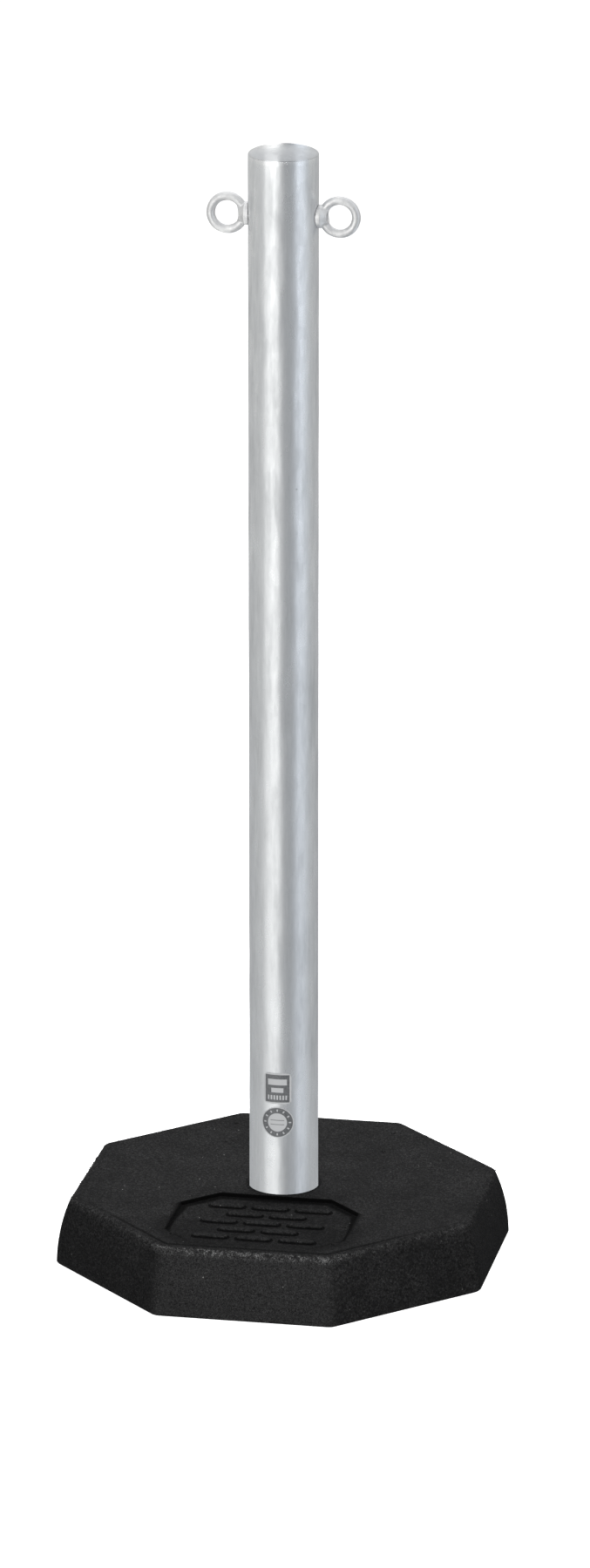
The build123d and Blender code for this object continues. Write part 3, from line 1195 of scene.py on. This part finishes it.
    def skin(self) -> bpy.types.Object:
        """Builds the base's closed skin, one ring of points for each row of the profile.

        Returns:
            The piece, with the attributes wear, dust and nook.
        """
        rings = Rings(self.angles())
        self.inner_rings(rings)
        self.outer_rings(rings)
        self.lower_rings(rings)
        points = rings.moulded(self.unevenness)
        skin = Skin("bonded_rubber_base", points, closed_rows=True)
        piece = skin.build()
        towards_front = -np.sin(rings.angle)
        # The painted highlight, with the abrasion, is strongest in front.
        worn_and_lit = self.wear_and_highlight_behind + (1 - self.wear_and_highlight_behind) * smooth_step(towards_front, *self.wear_and_highlight_front)
        # Painted light only on the face towards the front.
        front_light = smooth_step(towards_front, *self.painted_light_front)
        skin.paint(piece, "wear_and_highlight", np.outer(rings.wear_and_highlight, worn_and_lit))
        skin.paint(piece, "painted_light", np.outer(rings.painted_light, front_light))
        # Painted shade in the deck's sheltered places.
        skin.paint(piece, "painted_shade", self.painted_shade(points))
        return piece

    def painted_shade(self, points: np.ndarray) -> np.ndarray:
        """How strongly shade is painted on the deck's colour where the deck is sheltered.

        Args:
            points: Points of the base's skin.

        Returns:
            1 on the panel's wall and at its foot, falling off over a few millimetres, less on
            the panel's floor and its near border, along the groove and round the tube; 0 off
            the deck.
        """
        shade, centre = self.shade, self.outline.centre
        x, y = points[..., 0], points[..., 1]
        inside = -self.outline.outside(x, y)
        far = smooth_step(y, centre + shade.far_side[0], centre + shade.far_side[1])
        # Painted shade on the panel's wall and at its foot, reaching further on the far side.
        start, end = (near + more * far for near, more in zip(shade.wall_near, shade.wall_far))
        wall = smooth_step(inside, *shade.wall_top) * (1 - smooth_step(inside, start, end))
        floor = shade.floor * smooth_step(inside, 0, shade.floor_rise)
        # Painted shade on the panel's near border.
        border = shade.border * (1 - smooth_step(-inside, *shade.border_reach)) * (y < centre)
        tube = shade.tube * (1 - smooth_step(np.hypot(x, y) - self.bore, *shade.tube_reach))
        groove = shade.groove * self.groove(x, y)
        return np.stack([wall, floor, border, tube, groove]).max(axis=0) * (points[..., 2] > self.height / 2)

    def dress(self, finishes: Finishes) -> None:
        """Builds the base, its pin marks sunk in it, and gives it its finish.

        Args:
            finishes: The shared finishes.
        """
        piece = PinMarks(self).drill(self.skin())
        dressed(piece, finishes.rubber, Slot.RUBBER, "rubber_base").visible_glossy = False


@dataclass
class TreadBars:
    """The panel's tread: soft crowned pads with round ends, each in a shallow moat."""

    base: RubberBase
    length: float = 30.0
    width: float = 8.0
    rise: float = 2.2
    edge: float = 0.9
    moat: float = 2.0
    give: float = 0.2
    pitch: tuple[float, float] = (38.0, 19.0)
    rows: int = 5
    columns: int = 64
    # Depths below a bar's crown over which its painted shade rises.
    shade: Rise = (0.5, 1.3)

    def spots(self) -> np.ndarray:
        """Middles of the bars.

        Returns:
            Pairs of x and y, three and two bars to a row by turns.
        """
        along, up = self.pitch
        spots = []
        for place in range(self.rows):
            count = 3 - place % 2
            y = self.base.outline.centre + (place - (self.rows - 1) / 2) * up
            spots += [((step - (count - 1) / 2) * along, y) for step in range(count)]
        return np.array(spots)

    def profile(self) -> np.ndarray:
        """A bar's profile from its crown to its underside.

        Returns:
            Rows of distance from the bar's middle line and height over its crown: the crown,
            a rounded edge, the foot and the moat, and a point below that closes it.
        """
        reach, edge, rise = self.width / 2, self.edge, self.rise
        crown = [(0.0, 0.0), (reach * 0.4, -0.04), (reach * 0.65, -0.1)]
        rim = arc((reach - edge, -edge - 0.12), edge, UP, 8, 6)
        moat = reach + self.moat
        foot = [(reach + 0.1, -rise), (moat, -rise + 0.04), (moat + 0.3, -rise - 0.5)]
        return np.array(crown + rim + foot + [(0.0, -rise - 1.2)])

    def build(self) -> bpy.types.Object:
        """Builds the bars on the panel's floor.

        Returns:
            One piece of closed pads, with an attribute that paints shade on their feet and moats.
            Each is its profile carried round a circle whose two halves are slid apart, less so near
            the crown.
        """
        across, height = np.hsplit(self.profile(), 2)
        angle = np.linspace(0, FULL_TURN, self.columns, endpoint=False)
        slide = (self.length - self.width) / 2 * np.clip(np.cos(angle) * 3, -1, 1)
        x = across * np.cos(angle) + slide * np.minimum(1, across / (self.width / 2) * 1.6)
        y = across * np.sin(angle)
        crown = self.base.height - self.base.outline.depth + self.rise
        z = np.broadcast_to(crown + height, x.shape)
        grids = np.stack([np.stack([x + sx, y + sy, z], axis=-1) for sx, sy in self.spots()])
        grids[..., 2] -= self.give * self.base.unevenness(grids)
        skin = Skin("tread_bars", grids, poles=(True, True))
        piece = skin.build()
        # Painted shade on the bars' feet and moats.
        skin.paint(piece, "painted_shade", np.broadcast_to(smooth_step(-height, *self.shade), x.shape))
        return piece

    def dress(self, finishes: Finishes) -> None:
        """Builds the bars and gives them their finish.

        Args:
            finishes: The shared finishes.
        """
        dressed(self.build(), finishes.tread, Slot.RUBBER).visible_glossy = False


@dataclass
class PinMarks:
    """Blind holes that the mould's pins left, a little out of round."""

    base: RubberBase
    radius: float = 2.0
    depth: float = 5.0
    inset: float = 7.0
    margins: tuple[float, float] = (31.0, 81.0)
    columns: int = 28
    wobble: float = 0.2
    wobble_cell: Triple = (2.2, 2.2, 2.2)

    def spots(self) -> np.ndarray:
        """Places of the holes.

        Returns:
            Pairs of x and y, four to the front and four behind.
        """
        x = self.base.outline.half_width - self.inset
        reaches = [self.base.half - self.base.lean - margin for margin in self.margins]
        return np.array([(side * x, end * y) for side in (-1, 1) for end in (-1, 1) for y in reaches])

    def plugs(self) -> bpy.types.Object:
        """Builds what is taken out of the base.

        Returns:
            One piece of closed plugs, each a turned profile of floor, wall and flared lip,
            with the attribute nook all over.
        """
        hole, deep = self.radius, self.depth
        profile = [(0.0, -deep), (hole * 0.9, -deep), (hole, -deep + 0.6), (hole, -0.7)]
        profile += [(hole + 0.12, -0.35), (hole + 0.45, 0.02), (hole + 0.6, 1.2), (0.0, 1.2)]
        ring = turned(profile, self.columns)
        spots = self.spots()
        centre = spots[:, None, None, :]
        grids = np.stack([ring + np.array([x, y, 0]) for x, y in spots])
        wobble = self.wobble * self.base.noise.at(grids, self.wobble_cell) / hole
        grids[..., :2] = centre + (grids[..., :2] - centre) * (1 + wobble)[..., None]
        grids[..., 2] += self.base.deck_height(*spots.T)[:, None, None]
        skin = Skin("pins", grids, poles=(True, True))
        tool = skin.build()
        # Painted shade all over the holes.
        skin.paint(tool, "painted_shade", np.ones(ring.shape[:2]))
        return tool

    def drill(self, piece: bpy.types.Object) -> bpy.types.Object:
        """Sinks the holes in the base's skin.

        Args:
            piece: The base as skin made it.

        Returns:
            The same piece with its holes, shade painted down their walls by an attribute.
        """
        tool = self.plugs()
        cut = piece.modifiers.new("pin_marks", "BOOLEAN")
        cut.operation = "DIFFERENCE"
        cut.solver = "EXACT"
        cut.object = tool
        graph = bpy.context.evaluated_depsgraph_get()
        whole = piece.evaluated_get(graph)
        drilled = bpy.data.meshes.new_from_object(whole, preserve_all_data_layers=True, depsgraph=graph)
        piece.modifiers.clear()
        bpy.data.objects.remove(tool)
        piece.data = drilled
        drilled.name = piece.name
        drilled.shade_smooth()
        drilled.set_sharp_from_angle(angle=SHARP_ANGLE)
        return piece


@dataclass
class Crumbs:
    """Loose granules half sunk in the base's worn top edge and its deck."""

    base: RubberBase
    count: int = 900
    on_edge: float = 0.6
    sizes: tuple[float, float] = (0.35, 0.95)
    spread: float = 0.09
    sink: tuple[float, float] = (0.28, 0.25)
    margins: tuple[float, float] = (12.0, 2.0)
    corner_cut: float = 3.0
    columns: int = 6

    def build(self) -> bpy.types.Object:
        """Builds the granules.

        Returns:
            One piece of small uneven lumps, evenly scattered by angle along the edge and by
            area over the deck.
        """
        base = self.base
        draw = np.random.default_rng(base.seed + 1)
        turn = draw.uniform(0, FULL_TURN, self.count)
        lean = np.radians(draw.uniform(base.edge_turn, UP, self.count))
        inner, outer = self.margins
        room = base.edge_centre - base.bore - inner - outer
        deck = base.bore + inner + room * np.sqrt(draw.uniform(0, 1, self.count))
        size = draw.uniform(*self.sizes, self.count)
        flat = base.edge_centre + base.deck_radius * np.cos(lean)
        edge = base.octagon(turn, flat, base.corner - self.corner_cut)
        on_deck = np.arange(self.count) >= int(self.count * self.on_edge)
        reach = np.where(on_deck, deck, edge)
        x, y = reach * np.cos(turn), reach * np.sin(turn)
        edge_level = base.edge_height + base.deck_radius * np.sin(lean)
        level = np.where(on_deck, base.deck_height(x, y), edge_level)
        grain = turned([(0.0, 0.5), (0.8, 0.25), (1.0, -0.3), (0.0, -0.8)], self.columns)
        grids = grain[None] * size[:, None, None, None]
        grids = grids + draw.normal(0, self.spread, grids.shape)
        for pole in (0, -1):
            grids[:, pole] = grids[:, pole, :1]
        shift = np.stack([x, y, level - self.sink[0] - self.sink[1] * size], axis=-1)
        return Skin("rubber_crumbs", grids + shift[:, None, None, :], poles=(True, True)).build()

    def dress(self, finishes: Finishes) -> None:
        """Builds the granules and gives them their finish.

        Args:
            finishes: The shared finishes.
        """
        dressed(self.build(), finishes.rubber, Slot.RUBBER).visible_glossy = False


# ---- the post ----------------------------------------------------------------
@dataclass
class Post:
    """The tube and its domed cap."""

    wall: float = 2.5
    rim_radius: float = 0.3
    cap_rise: float = 7.0
    cap_wall: float = 2.5
    skirt: float = 12.0
    skirt_fit: float = 0.15
    columns: int = 180
    tube_rows: int = 236
    bore_rows: int = 6
    dome_rows: int = 34
    hollow_rows: int = 12
    narrow_cell: Triple = (10, 10, 34)
    broad_cell: Triple = (27, 27, 150)
    broad_shift: float = 90.0
    hollow: float = 0.2
    narrow_share: float = 0.17
    broad_share: float = 0.12
    deepest: float = 0.45
    skin_depths: tuple[float, float] = (1.2, 0.6)
    seed: int = 7

    def __post_init__(self) -> None:
        """Reads the tube's size from the frame."""
        low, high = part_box("post_tube")
        self.radius = float(high.x - low.x) / MM / 2
        self.bottom, self.top = float(low.z) / MM, float(high.z) / MM

    def drawn(self, points: np.ndarray) -> np.ndarray:
        """Moves points inwards by shallow hollows drawn out along the tube.

        Args:
            points: A grid round the Z axis.

        Returns:
            The same grid, the outer skin's points up to deepest nearer the axis.
        """
        noise = LatticeNoise(self.seed)
        narrow = self.narrow_share * noise.at(points, self.narrow_cell)
        broad = self.broad_share * noise.at(points + self.broad_shift, self.broad_cell)
        depth = np.clip(self.hollow + narrow + broad, 0, self.deepest)
        radius = np.hypot(points[..., 0], points[..., 1])
        outer = smooth_step(radius, *(self.radius - depth for depth in self.skin_depths))
        share = 1 - depth * outer / np.maximum(radius, 1)
        moved = points.copy()
        moved[..., :2] *= share[..., None]
        return moved

    def tube(self) -> bpy.types.Object:
        """Builds the tube as one closed ring of its wall's outline.

        Returns:
            The piece: up the outside, over the rim, down the bore.
        """
        inner = self.radius - self.wall
        trimmed, rim_foot = self.radius - self.rim_radius, self.top - self.rim_radius
        heights = np.linspace(self.bottom + self.rim_radius, rim_foot, self.tube_rows)
        outside = [(self.radius, height) for height in heights]
        rim = arc((trimmed, rim_foot), self.rim_radius, UP / 2, UP, 1)
        bore = [(inner, height) for height in np.linspace(self.top, self.bottom, self.bore_rows)]
        foot = [(trimmed, self.bottom)]
        points = turned(outside + rim + bore + foot, self.columns)
        return Skin("zinc_tube", self.drawn(points), closed_rows=True).build()

    def vault(self, radius: float, rise: float, rows: int) -> Profile:
        """A quarter of an ellipse over the tube's rim.

        Args:
            radius: Its reach from the axis.
            rise: Its height over the rim.
            rows: How many points it has.

        Returns:
            The profile from its top on the axis down to the rim.
        """
        turns = np.linspace(math.radians(UP), 0, rows)
        profile = list(zip(radius * np.cos(turns), self.top + rise * np.sin(turns)))
        return [(0.0, profile[0][1])] + profile[1:]

    def cap(self) -> bpy.types.Object:
        """Builds the cap: a half ellipsoid flush with the tube, and its skirt.

        Returns:
            The piece, closed by one point above and one below.
        """
        outer = self.radius - self.wall - self.skirt_fit
        inner = outer - self.cap_wall
        dome = self.vault(self.radius, self.cap_rise, self.dome_rows)
        hollow = self.vault(inner, self.cap_rise - self.cap_wall, self.hollow_rows)[::-1]
        skirt = [(outer, self.top), (outer, self.top - self.skirt), (inner, self.top - self.skirt)]
        points = turned(dome + skirt + hollow, self.columns)
        return Skin("domed_cap", self.drawn(points), poles=(True, True)).build()

    def dress(self, finishes: Finishes) -> None:
        """Builds the tube and the cap and gives them their finish.

        Args:
            finishes: The shared finishes.
        """
        dressed(self.tube(), finishes.tube, Slot.TUBE_ZINC, "post_tube")
        dressed(self.cap(), finishes.cap, Slot.TUBE_ZINC, "top_cap")


# ---- the eyes ----------------------------------------------------------------
@dataclass
class EyeNut:
    """A forged eye nut: the frame's own shape with its creases softened."""

    node: str
    name: str
    seed: int
    voxel: float = 0.42
    rounds: int = 7
    lump: float = 0.16
    lump_cell: Triple = (4.2, 4.2, 4.2)
    merge_reach: float = 0.01

    def build(self) -> bpy.types.Object:
        """Softens a merged copy of the node and roughens it like a forging.

        Returns:
            The piece, its points moved along their normals by seeded noise.
        """
        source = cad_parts[self.node]
        copy = bpy.data.objects.new(self.name, source.data.copy())
        bpy.context.scene.collection.objects.link(copy)
        weld = copy.modifiers.new("merge", "WELD")
        weld.merge_threshold = self.merge_reach * MM
        skin = copy.modifiers.new("skin", "REMESH")
        skin.mode = "VOXEL"
        skin.voxel_size = self.voxel * MM
        soften = copy.modifiers.new("soften", "SMOOTH")
        soften.iterations = self.rounds
        soften.factor = 0.5
        made = bpy.data.meshes.new_from_object(copy.evaluated_get(bpy.context.evaluated_depsgraph_get()))
        bpy.data.objects.remove(copy)
        points, normals = np.zeros((2, len(made.vertices), 3))
        made.vertices.foreach_get("co", points.ravel())
        made.vertices.foreach_get("normal", normals.ravel())
        noise = LatticeNoise(self.seed).at(points / MM, self.lump_cell)
        points += normals * (noise * self.lump * MM)[:, None]
        made.vertices.foreach_set("co", points.ravel())
        made.name = self.name
        return placed(self.name, made)

    def dress(self, finishes: Finishes) -> None:
        """Builds the eye nut and gives it its finish.

        Args:
            finishes: The shared finishes.
        """
        dressed(self.build(), finishes.forging, Slot.FORGING, self.node)


# ---- the labels --------------------------------------------------------------
@dataclass
class Label:
    """A film on the front of the tube, cut to a rounded outline."""

    node: str
    name: str
    design: Print
    corner: float
    gap: float = 0.02
    rings: int = 12
    columns: int = 96

    def __post_init__(self) -> None:
        """Reads the label's place from the frame."""
        self.low, self.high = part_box(self.node)
        self.centre = float(self.low.z + self.high.z) / MM / 2

    def edge(self) -> np.ndarray:
        """The film's outline, a rectangle with rounded corners.

        Returns:
            Rows of x and z, each the crossing of a ray with the rectangle, pulled in to the
            corner's circle where it lies beyond it.
        """
        half = np.array([self.high.x - self.low.x, self.high.z - self.low.z])[:, None] / MM / 2
        angle = np.linspace(0, FULL_TURN, self.columns, endpoint=False)
        ray = np.stack([np.cos(angle), np.sin(angle)])
        side = ray / (np.abs(ray) / half).max(axis=0)
        over = np.maximum(np.abs(side) - (half - self.corner), 0)
        pull = np.minimum(1, self.corner / np.maximum(np.hypot(*over), ALMOST_NONE))
        return np.sign(side) * (np.minimum(np.abs(side), half - self.corner) + over * pull)

    def build(self) -> bpy.types.Object:
        """Builds the film: rings of its outline laid round the tube, front and back.

        Returns:
            The piece. A point lies at a share of the outline's reach along its ray, and its
            depth is that of the tube's circle at the same distance from the middle.
        """
        tube_low, tube_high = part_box("post_tube")
        inner = float(tube_high.x - tube_low.x) / MM / 2 + self.gap
        shares = np.linspace(0, 1, self.rings)[:, None]
        reach = np.concatenate([shares, shares[::-1]])
        depth = np.repeat([-float(self.low.y) / MM, inner], self.rings)[:, None]
        x_edge, z_edge = self.edge()
        x = reach * x_edge
        z = reach * z_edge + self.centre
        y = -np.sqrt(depth**2 - x**2)
        return Skin(self.name, np.stack([x, y, z], axis=-1), poles=(True, True)).build()

    def dress(self) -> None:
        """Builds the film and prints it."""
        finish = LabelFilm(f"{self.name}_finish", self.design, self.centre).material()
        dressed(self.build(), finish, Slot.LABEL, self.node)


# ---- the metal parts that keep the frame's own shape ---------------------------
@dataclass(frozen=True)
class PlainHardware:
    """Nodes of the frame whose shape is right and that only get a finish."""

    screws: int = 4

    def dress(self, finishes: Finishes) -> None:
        """Gives each node its material.

        Args:
            finishes: The shared finishes.
        """
        chosen = {"foot_plate": finishes.plate, "foot_weld": finishes.weld, "cross_stud": finishes.plated}
        for number in range(1, self.screws + 1):
            chosen[f"foot_screw_{number}"] = finishes.plated
            chosen[f"threaded_sleeve_{number}"] = finishes.plated
        for node, finish in chosen.items():
            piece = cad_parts[node]
            if not piece.material_slots:
                piece.data.materials.append(finish)
            for place in piece.material_slots:
                place.material = finish
            LOG.info("%s: finish %s", node, finish.name)


# ---- the studio --------------------------------------------------------------
@dataclass(frozen=True)
class Bank:
    """One soft light on a stand, unseen by the camera and by polished metal."""

    name: str
    place: Triple
    size: float
    power: float

    def hang(self) -> None:
        """Puts the light up, aimed at the foot of the post."""
        lamp = bpy.data.lights.new(self.name, "AREA")
        lamp.shape = "DISK"
        lamp.size = self.size
        lamp.energy = self.power
        stand = stood(lamp, self.place, -Vector(self.place))
        stand.visible_camera = False
        stand.visible_glossy = False


@dataclass(frozen=True)
class Veil:
    """Even light over the bands at some heights, given as sines above the horizon."""

    colour: Colour
    spans: tuple[Span, ...]

    def share(self, nodes: Nodes, height: Socket) -> object:
        """How strongly it covers the bands at a height: its spans multiplied together."""
        return nodes.product(*(nodes.span(height, *span) for span in self.spans))


def stood(made: bpy.types.ID, place: Triple, direction: Vector) -> bpy.types.Object:
    """Stands a light or a camera in the scene.

    Args:
        made: The light's or camera's data, whose name the object takes.
        place: Where it stands, in metres.
        direction: Where it points.

    Returns:
        The new object, linked to the scene.
    """
    stand = bpy.data.objects.new(made.name, made)
    stand.location = place
    stand.rotation_mode = "QUATERNION"
    stand.rotation_quaternion = direction.to_track_quat("-Z", "Y")
    bpy.context.scene.collection.objects.link(stand)
    return stand


@dataclass(frozen=True)
class Studio:
    """Plain pale floor, soft light all round, and the camera.

    A band is its middle, in degrees to the right of the main view's direction, and its colour.
    """

    facing: float = math.radians(10.86)
    sight_slope: float = math.radians(12.7)
    cap_slope: float = 0.232
    camera_place: Triple = (1.2344, -6.3817, 2.4266)
    camera_direction: Triple = (-0.1801, 0.9386, -0.2944)
    lens: float = 181.41
    sensor: float = 36.0
    floor_radius: float = 9000.0
    floor_gap: float = 0.05
    floor_rings: int = 12
    floor_columns: int = 96
    floor_tints: tuple[Colour, Colour] = ((0.93, 0.93, 0.93), (0.95, 0.95, 0.95))
    floor_glow: float = 0.95
    brightest: float = 3.0
    ambient: float = 0.06
    backdrop: float = 1.3
    bands: tuple[tuple[float, Colour], ...] = (
        (-180, (0.7, 0.7, 0.7)),
        (-120, (0.8, 0.8, 0.78)),
        (-72, (0.74, 0.74, 0.72)),
        (-54, (1.9, 1.9, 1.87)),
        (-24, (2.5, 2.5, 2.45)),
        (-6, (0.17, 0.175, 0.18)),
        (30, (0.17, 0.19, 0.205)),
        (50, (1.3, 1.4, 1.54)),
        (74, (1.05, 1.13, 1.22)),
        (96, (0.6, 0.61, 0.6)),
        (150, (0.66, 0.66, 0.66)),
        (180, (0.7, 0.7, 0.7)),
    )
    veils: tuple[Veil, ...] = (
        Veil((0.5, 0.52, 0.54), ((-0.21, -0.32, 0, 0.96), (-0.38, -0.5, 1, 0.45))),
        Veil((0.9, 0.91, 0.93), ((-0.05, 0.4, 0, 0.72),)),
    )
    banks: tuple[Bank, ...] = (
        Bank("overhead_bank", (-0.1, 1.1, 3.0), 2.4, 104.0),
        Bank("front_bank", (0.6, -3.15, 1.4), 1.2, 95.0),
    )

    def dimmed(self, colour: Colour) -> Colour:
        """A colour divided by brightest, so that no part of it is over 1."""
        return tuple(part / self.brightest for part in colour)

    def band_share(self, nodes: Nodes, direction: Socket) -> Socket:
        """Where a direction lies on the round of bands.

        Args:
            nodes: The world's nodes.
            direction: Which way is looked at, in the room.

        Returns:
            0 to 1 for -180 to 180 degrees. It is twice the angle whose sine is the sideways
            part of the vector half way back along the main view's direction, its height
            shrunk as on the cap, so that what runs up the tube runs on over the cap.
        """
        sockets = {"Vector": direction, "Angle": -self.facing}
        vector = nodes.add("VectorRotate", sockets, rotation_type="Z_AXIS").outputs[0]
        sight = (0.0, math.cos(self.sight_slope), -math.sin(self.sight_slope))
        for operation, second in (("SUBTRACT", sight), ("MULTIPLY", (1, 1, self.cap_slope))):
            vector = nodes.add("VectorMath", {0: vector, 1: second}, operation=operation).outputs[0]
        vector = nodes.add("VectorMath", {0: vector}, operation="NORMALIZE").outputs[0]
        sideways = nodes.add("SeparateXYZ", {0: vector}).outputs["X"]
        return nodes.span(nodes.maths("ARCSINE", sideways), -math.pi / 2, math.pi / 2, 0, 1)

    def band_colour(self, nodes: Nodes, direction: Socket) -> Socket:
        """What polished metal sees in a direction.

        Args:
            nodes: The world's nodes.
            direction: Which way is looked at, in the room.

        Returns:
            The bands' colour under the veils, divided by brightest.
        """
        ramp = nodes.add("ValToRGB", {0: self.band_share(nodes, direction)})
        ramp.color_ramp.interpolation = "EASE"
        elements = ramp.color_ramp.elements
        for place, (degrees, colour) in enumerate(self.bands):
            spot = degrees / 360 + 0.5
            element = elements[place] if place < RAMP_STOPS else elements.new(spot)
            element.position = spot
            element.color = (*self.dimmed(colour), 1)
        height = nodes.add("SeparateXYZ", {0: direction}).outputs["Z"]
        shade = ramp.outputs[0]
        for veil in self.veils:
            shade = nodes.blend(veil.share(nodes, height), shade, self.dimmed(veil.colour))
        return shade

    def light_the_room(self) -> None:
        """Sets the world: bands for polished metal, an even glow for the rest, white behind."""
        world = bpy.data.worlds.new("studio")
        bpy.context.scene.world = world
        world.use_nodes = True
        world.cycles.sampling_method = "NONE"
        nodes = Nodes(world.node_tree)
        bands = self.band_colour(nodes, nodes.add("TexCoord").outputs["Generated"])
        ray = nodes.add("LightPath").outputs
        lit = nodes.add("Background", {"Color": WHITE, "Strength": self.ambient}).outputs[0]
        for kind, colour, strength in (
            ("Is Glossy Ray", bands, self.brightest),
            ("Is Camera Ray", WHITE, self.backdrop),
        ):
            glow = nodes.add("Background", {"Color": colour, "Strength": strength}).outputs[0]
            lit = nodes.add("MixShader", {0: ray[kind], 1: lit, 2: glow}).outputs[0]
        nodes.add("OutputWorld", {"Surface": lit})

    def floor_finish(self) -> bpy.types.Material:
        """Builds the floor's material.

        Returns:
            A faintly clouded white that glows evenly, clear from underneath.
        """
        recipe = Recipe("floor_finish")
        cloud = recipe.noise(recipe.coordinates, 3, 2)
        recipe.set(Base_Color=recipe.blend(cloud, *self.floor_tints), Roughness=0.9, Specular_IOR_Level=0.1)
        recipe.set(Emission_Color=WHITE, Emission_Strength=self.floor_glow)
        below = recipe.add("NewGeometry").outputs["Backfacing"]
        clear = recipe.add("BsdfTransparent").outputs[0]
        choice = recipe.add("MixShader", {0: below, 1: recipe.shader.outputs[0], 2: clear})
        recipe.feed(recipe.output.inputs["Surface"], choice.outputs[0])
        return recipe.material

    def lay_the_floor(self) -> None:
        """Lays a round pale floor, a hair's breadth below the base."""
        radii = np.linspace(0, self.floor_radius, self.floor_rings)
        grid = turned([(radius, -self.floor_gap) for radius in radii], self.floor_columns)
        faces = grid_faces(self.floor_rings, self.floor_columns, False, (True, False))
        mesh = bpy.data.meshes.new("floor")
        mesh.from_pydata((grid.reshape(-1, 3) * MM).tolist(), [], [face[::-1] for face in faces])
        floor = placed("floor", mesh)
        floor.data.materials.append(self.floor_finish())
        floor.visible_glossy = False
        floor.visible_diffuse = False

    def place_the_camera(self) -> None:
        """Sets the camera, its long side upright."""
        lens = bpy.data.cameras.new("camera")
        lens.sensor_width = self.sensor
        lens.lens = self.lens
        bpy.context.scene.camera = stood(lens, self.camera_place, Vector(self.camera_direction))
        bpy.context.scene.view_settings.view_transform = "Standard"

    def build(self) -> None:
        """Sets up the light, the floor and the camera."""
        self.light_the_room()
        for bank in self.banks:
            bank.hang()
        self.lay_the_floor()
        self.place_the_camera()


def main() -> None:
    """Builds the post, piece by piece, and then the studio round it."""
    logging.basicConfig(level=logging.INFO, format="%(message)s")
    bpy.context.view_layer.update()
    finishes = Finishes.make()
    base = RubberBase()
    for part in (base, TreadBars(base), Crumbs(base)):
        part.dress(finishes)
    Post().dress(finishes)
    EyeNut("eye_nut_left", "forged_eye_left", 3).dress(finishes)
    EyeNut("eye_nut_right", "forged_eye_right", 5).dress(finishes)
    Label("upper_label", "upper_label_film", Print.FIELDS, 4.0).dress()
    Label("lower_label", "lower_label_film", Print.DIAL, 14.0).dress()
    PlainHardware().dress(finishes)
    Studio().build()


if __name__ == "__main__":
    main()
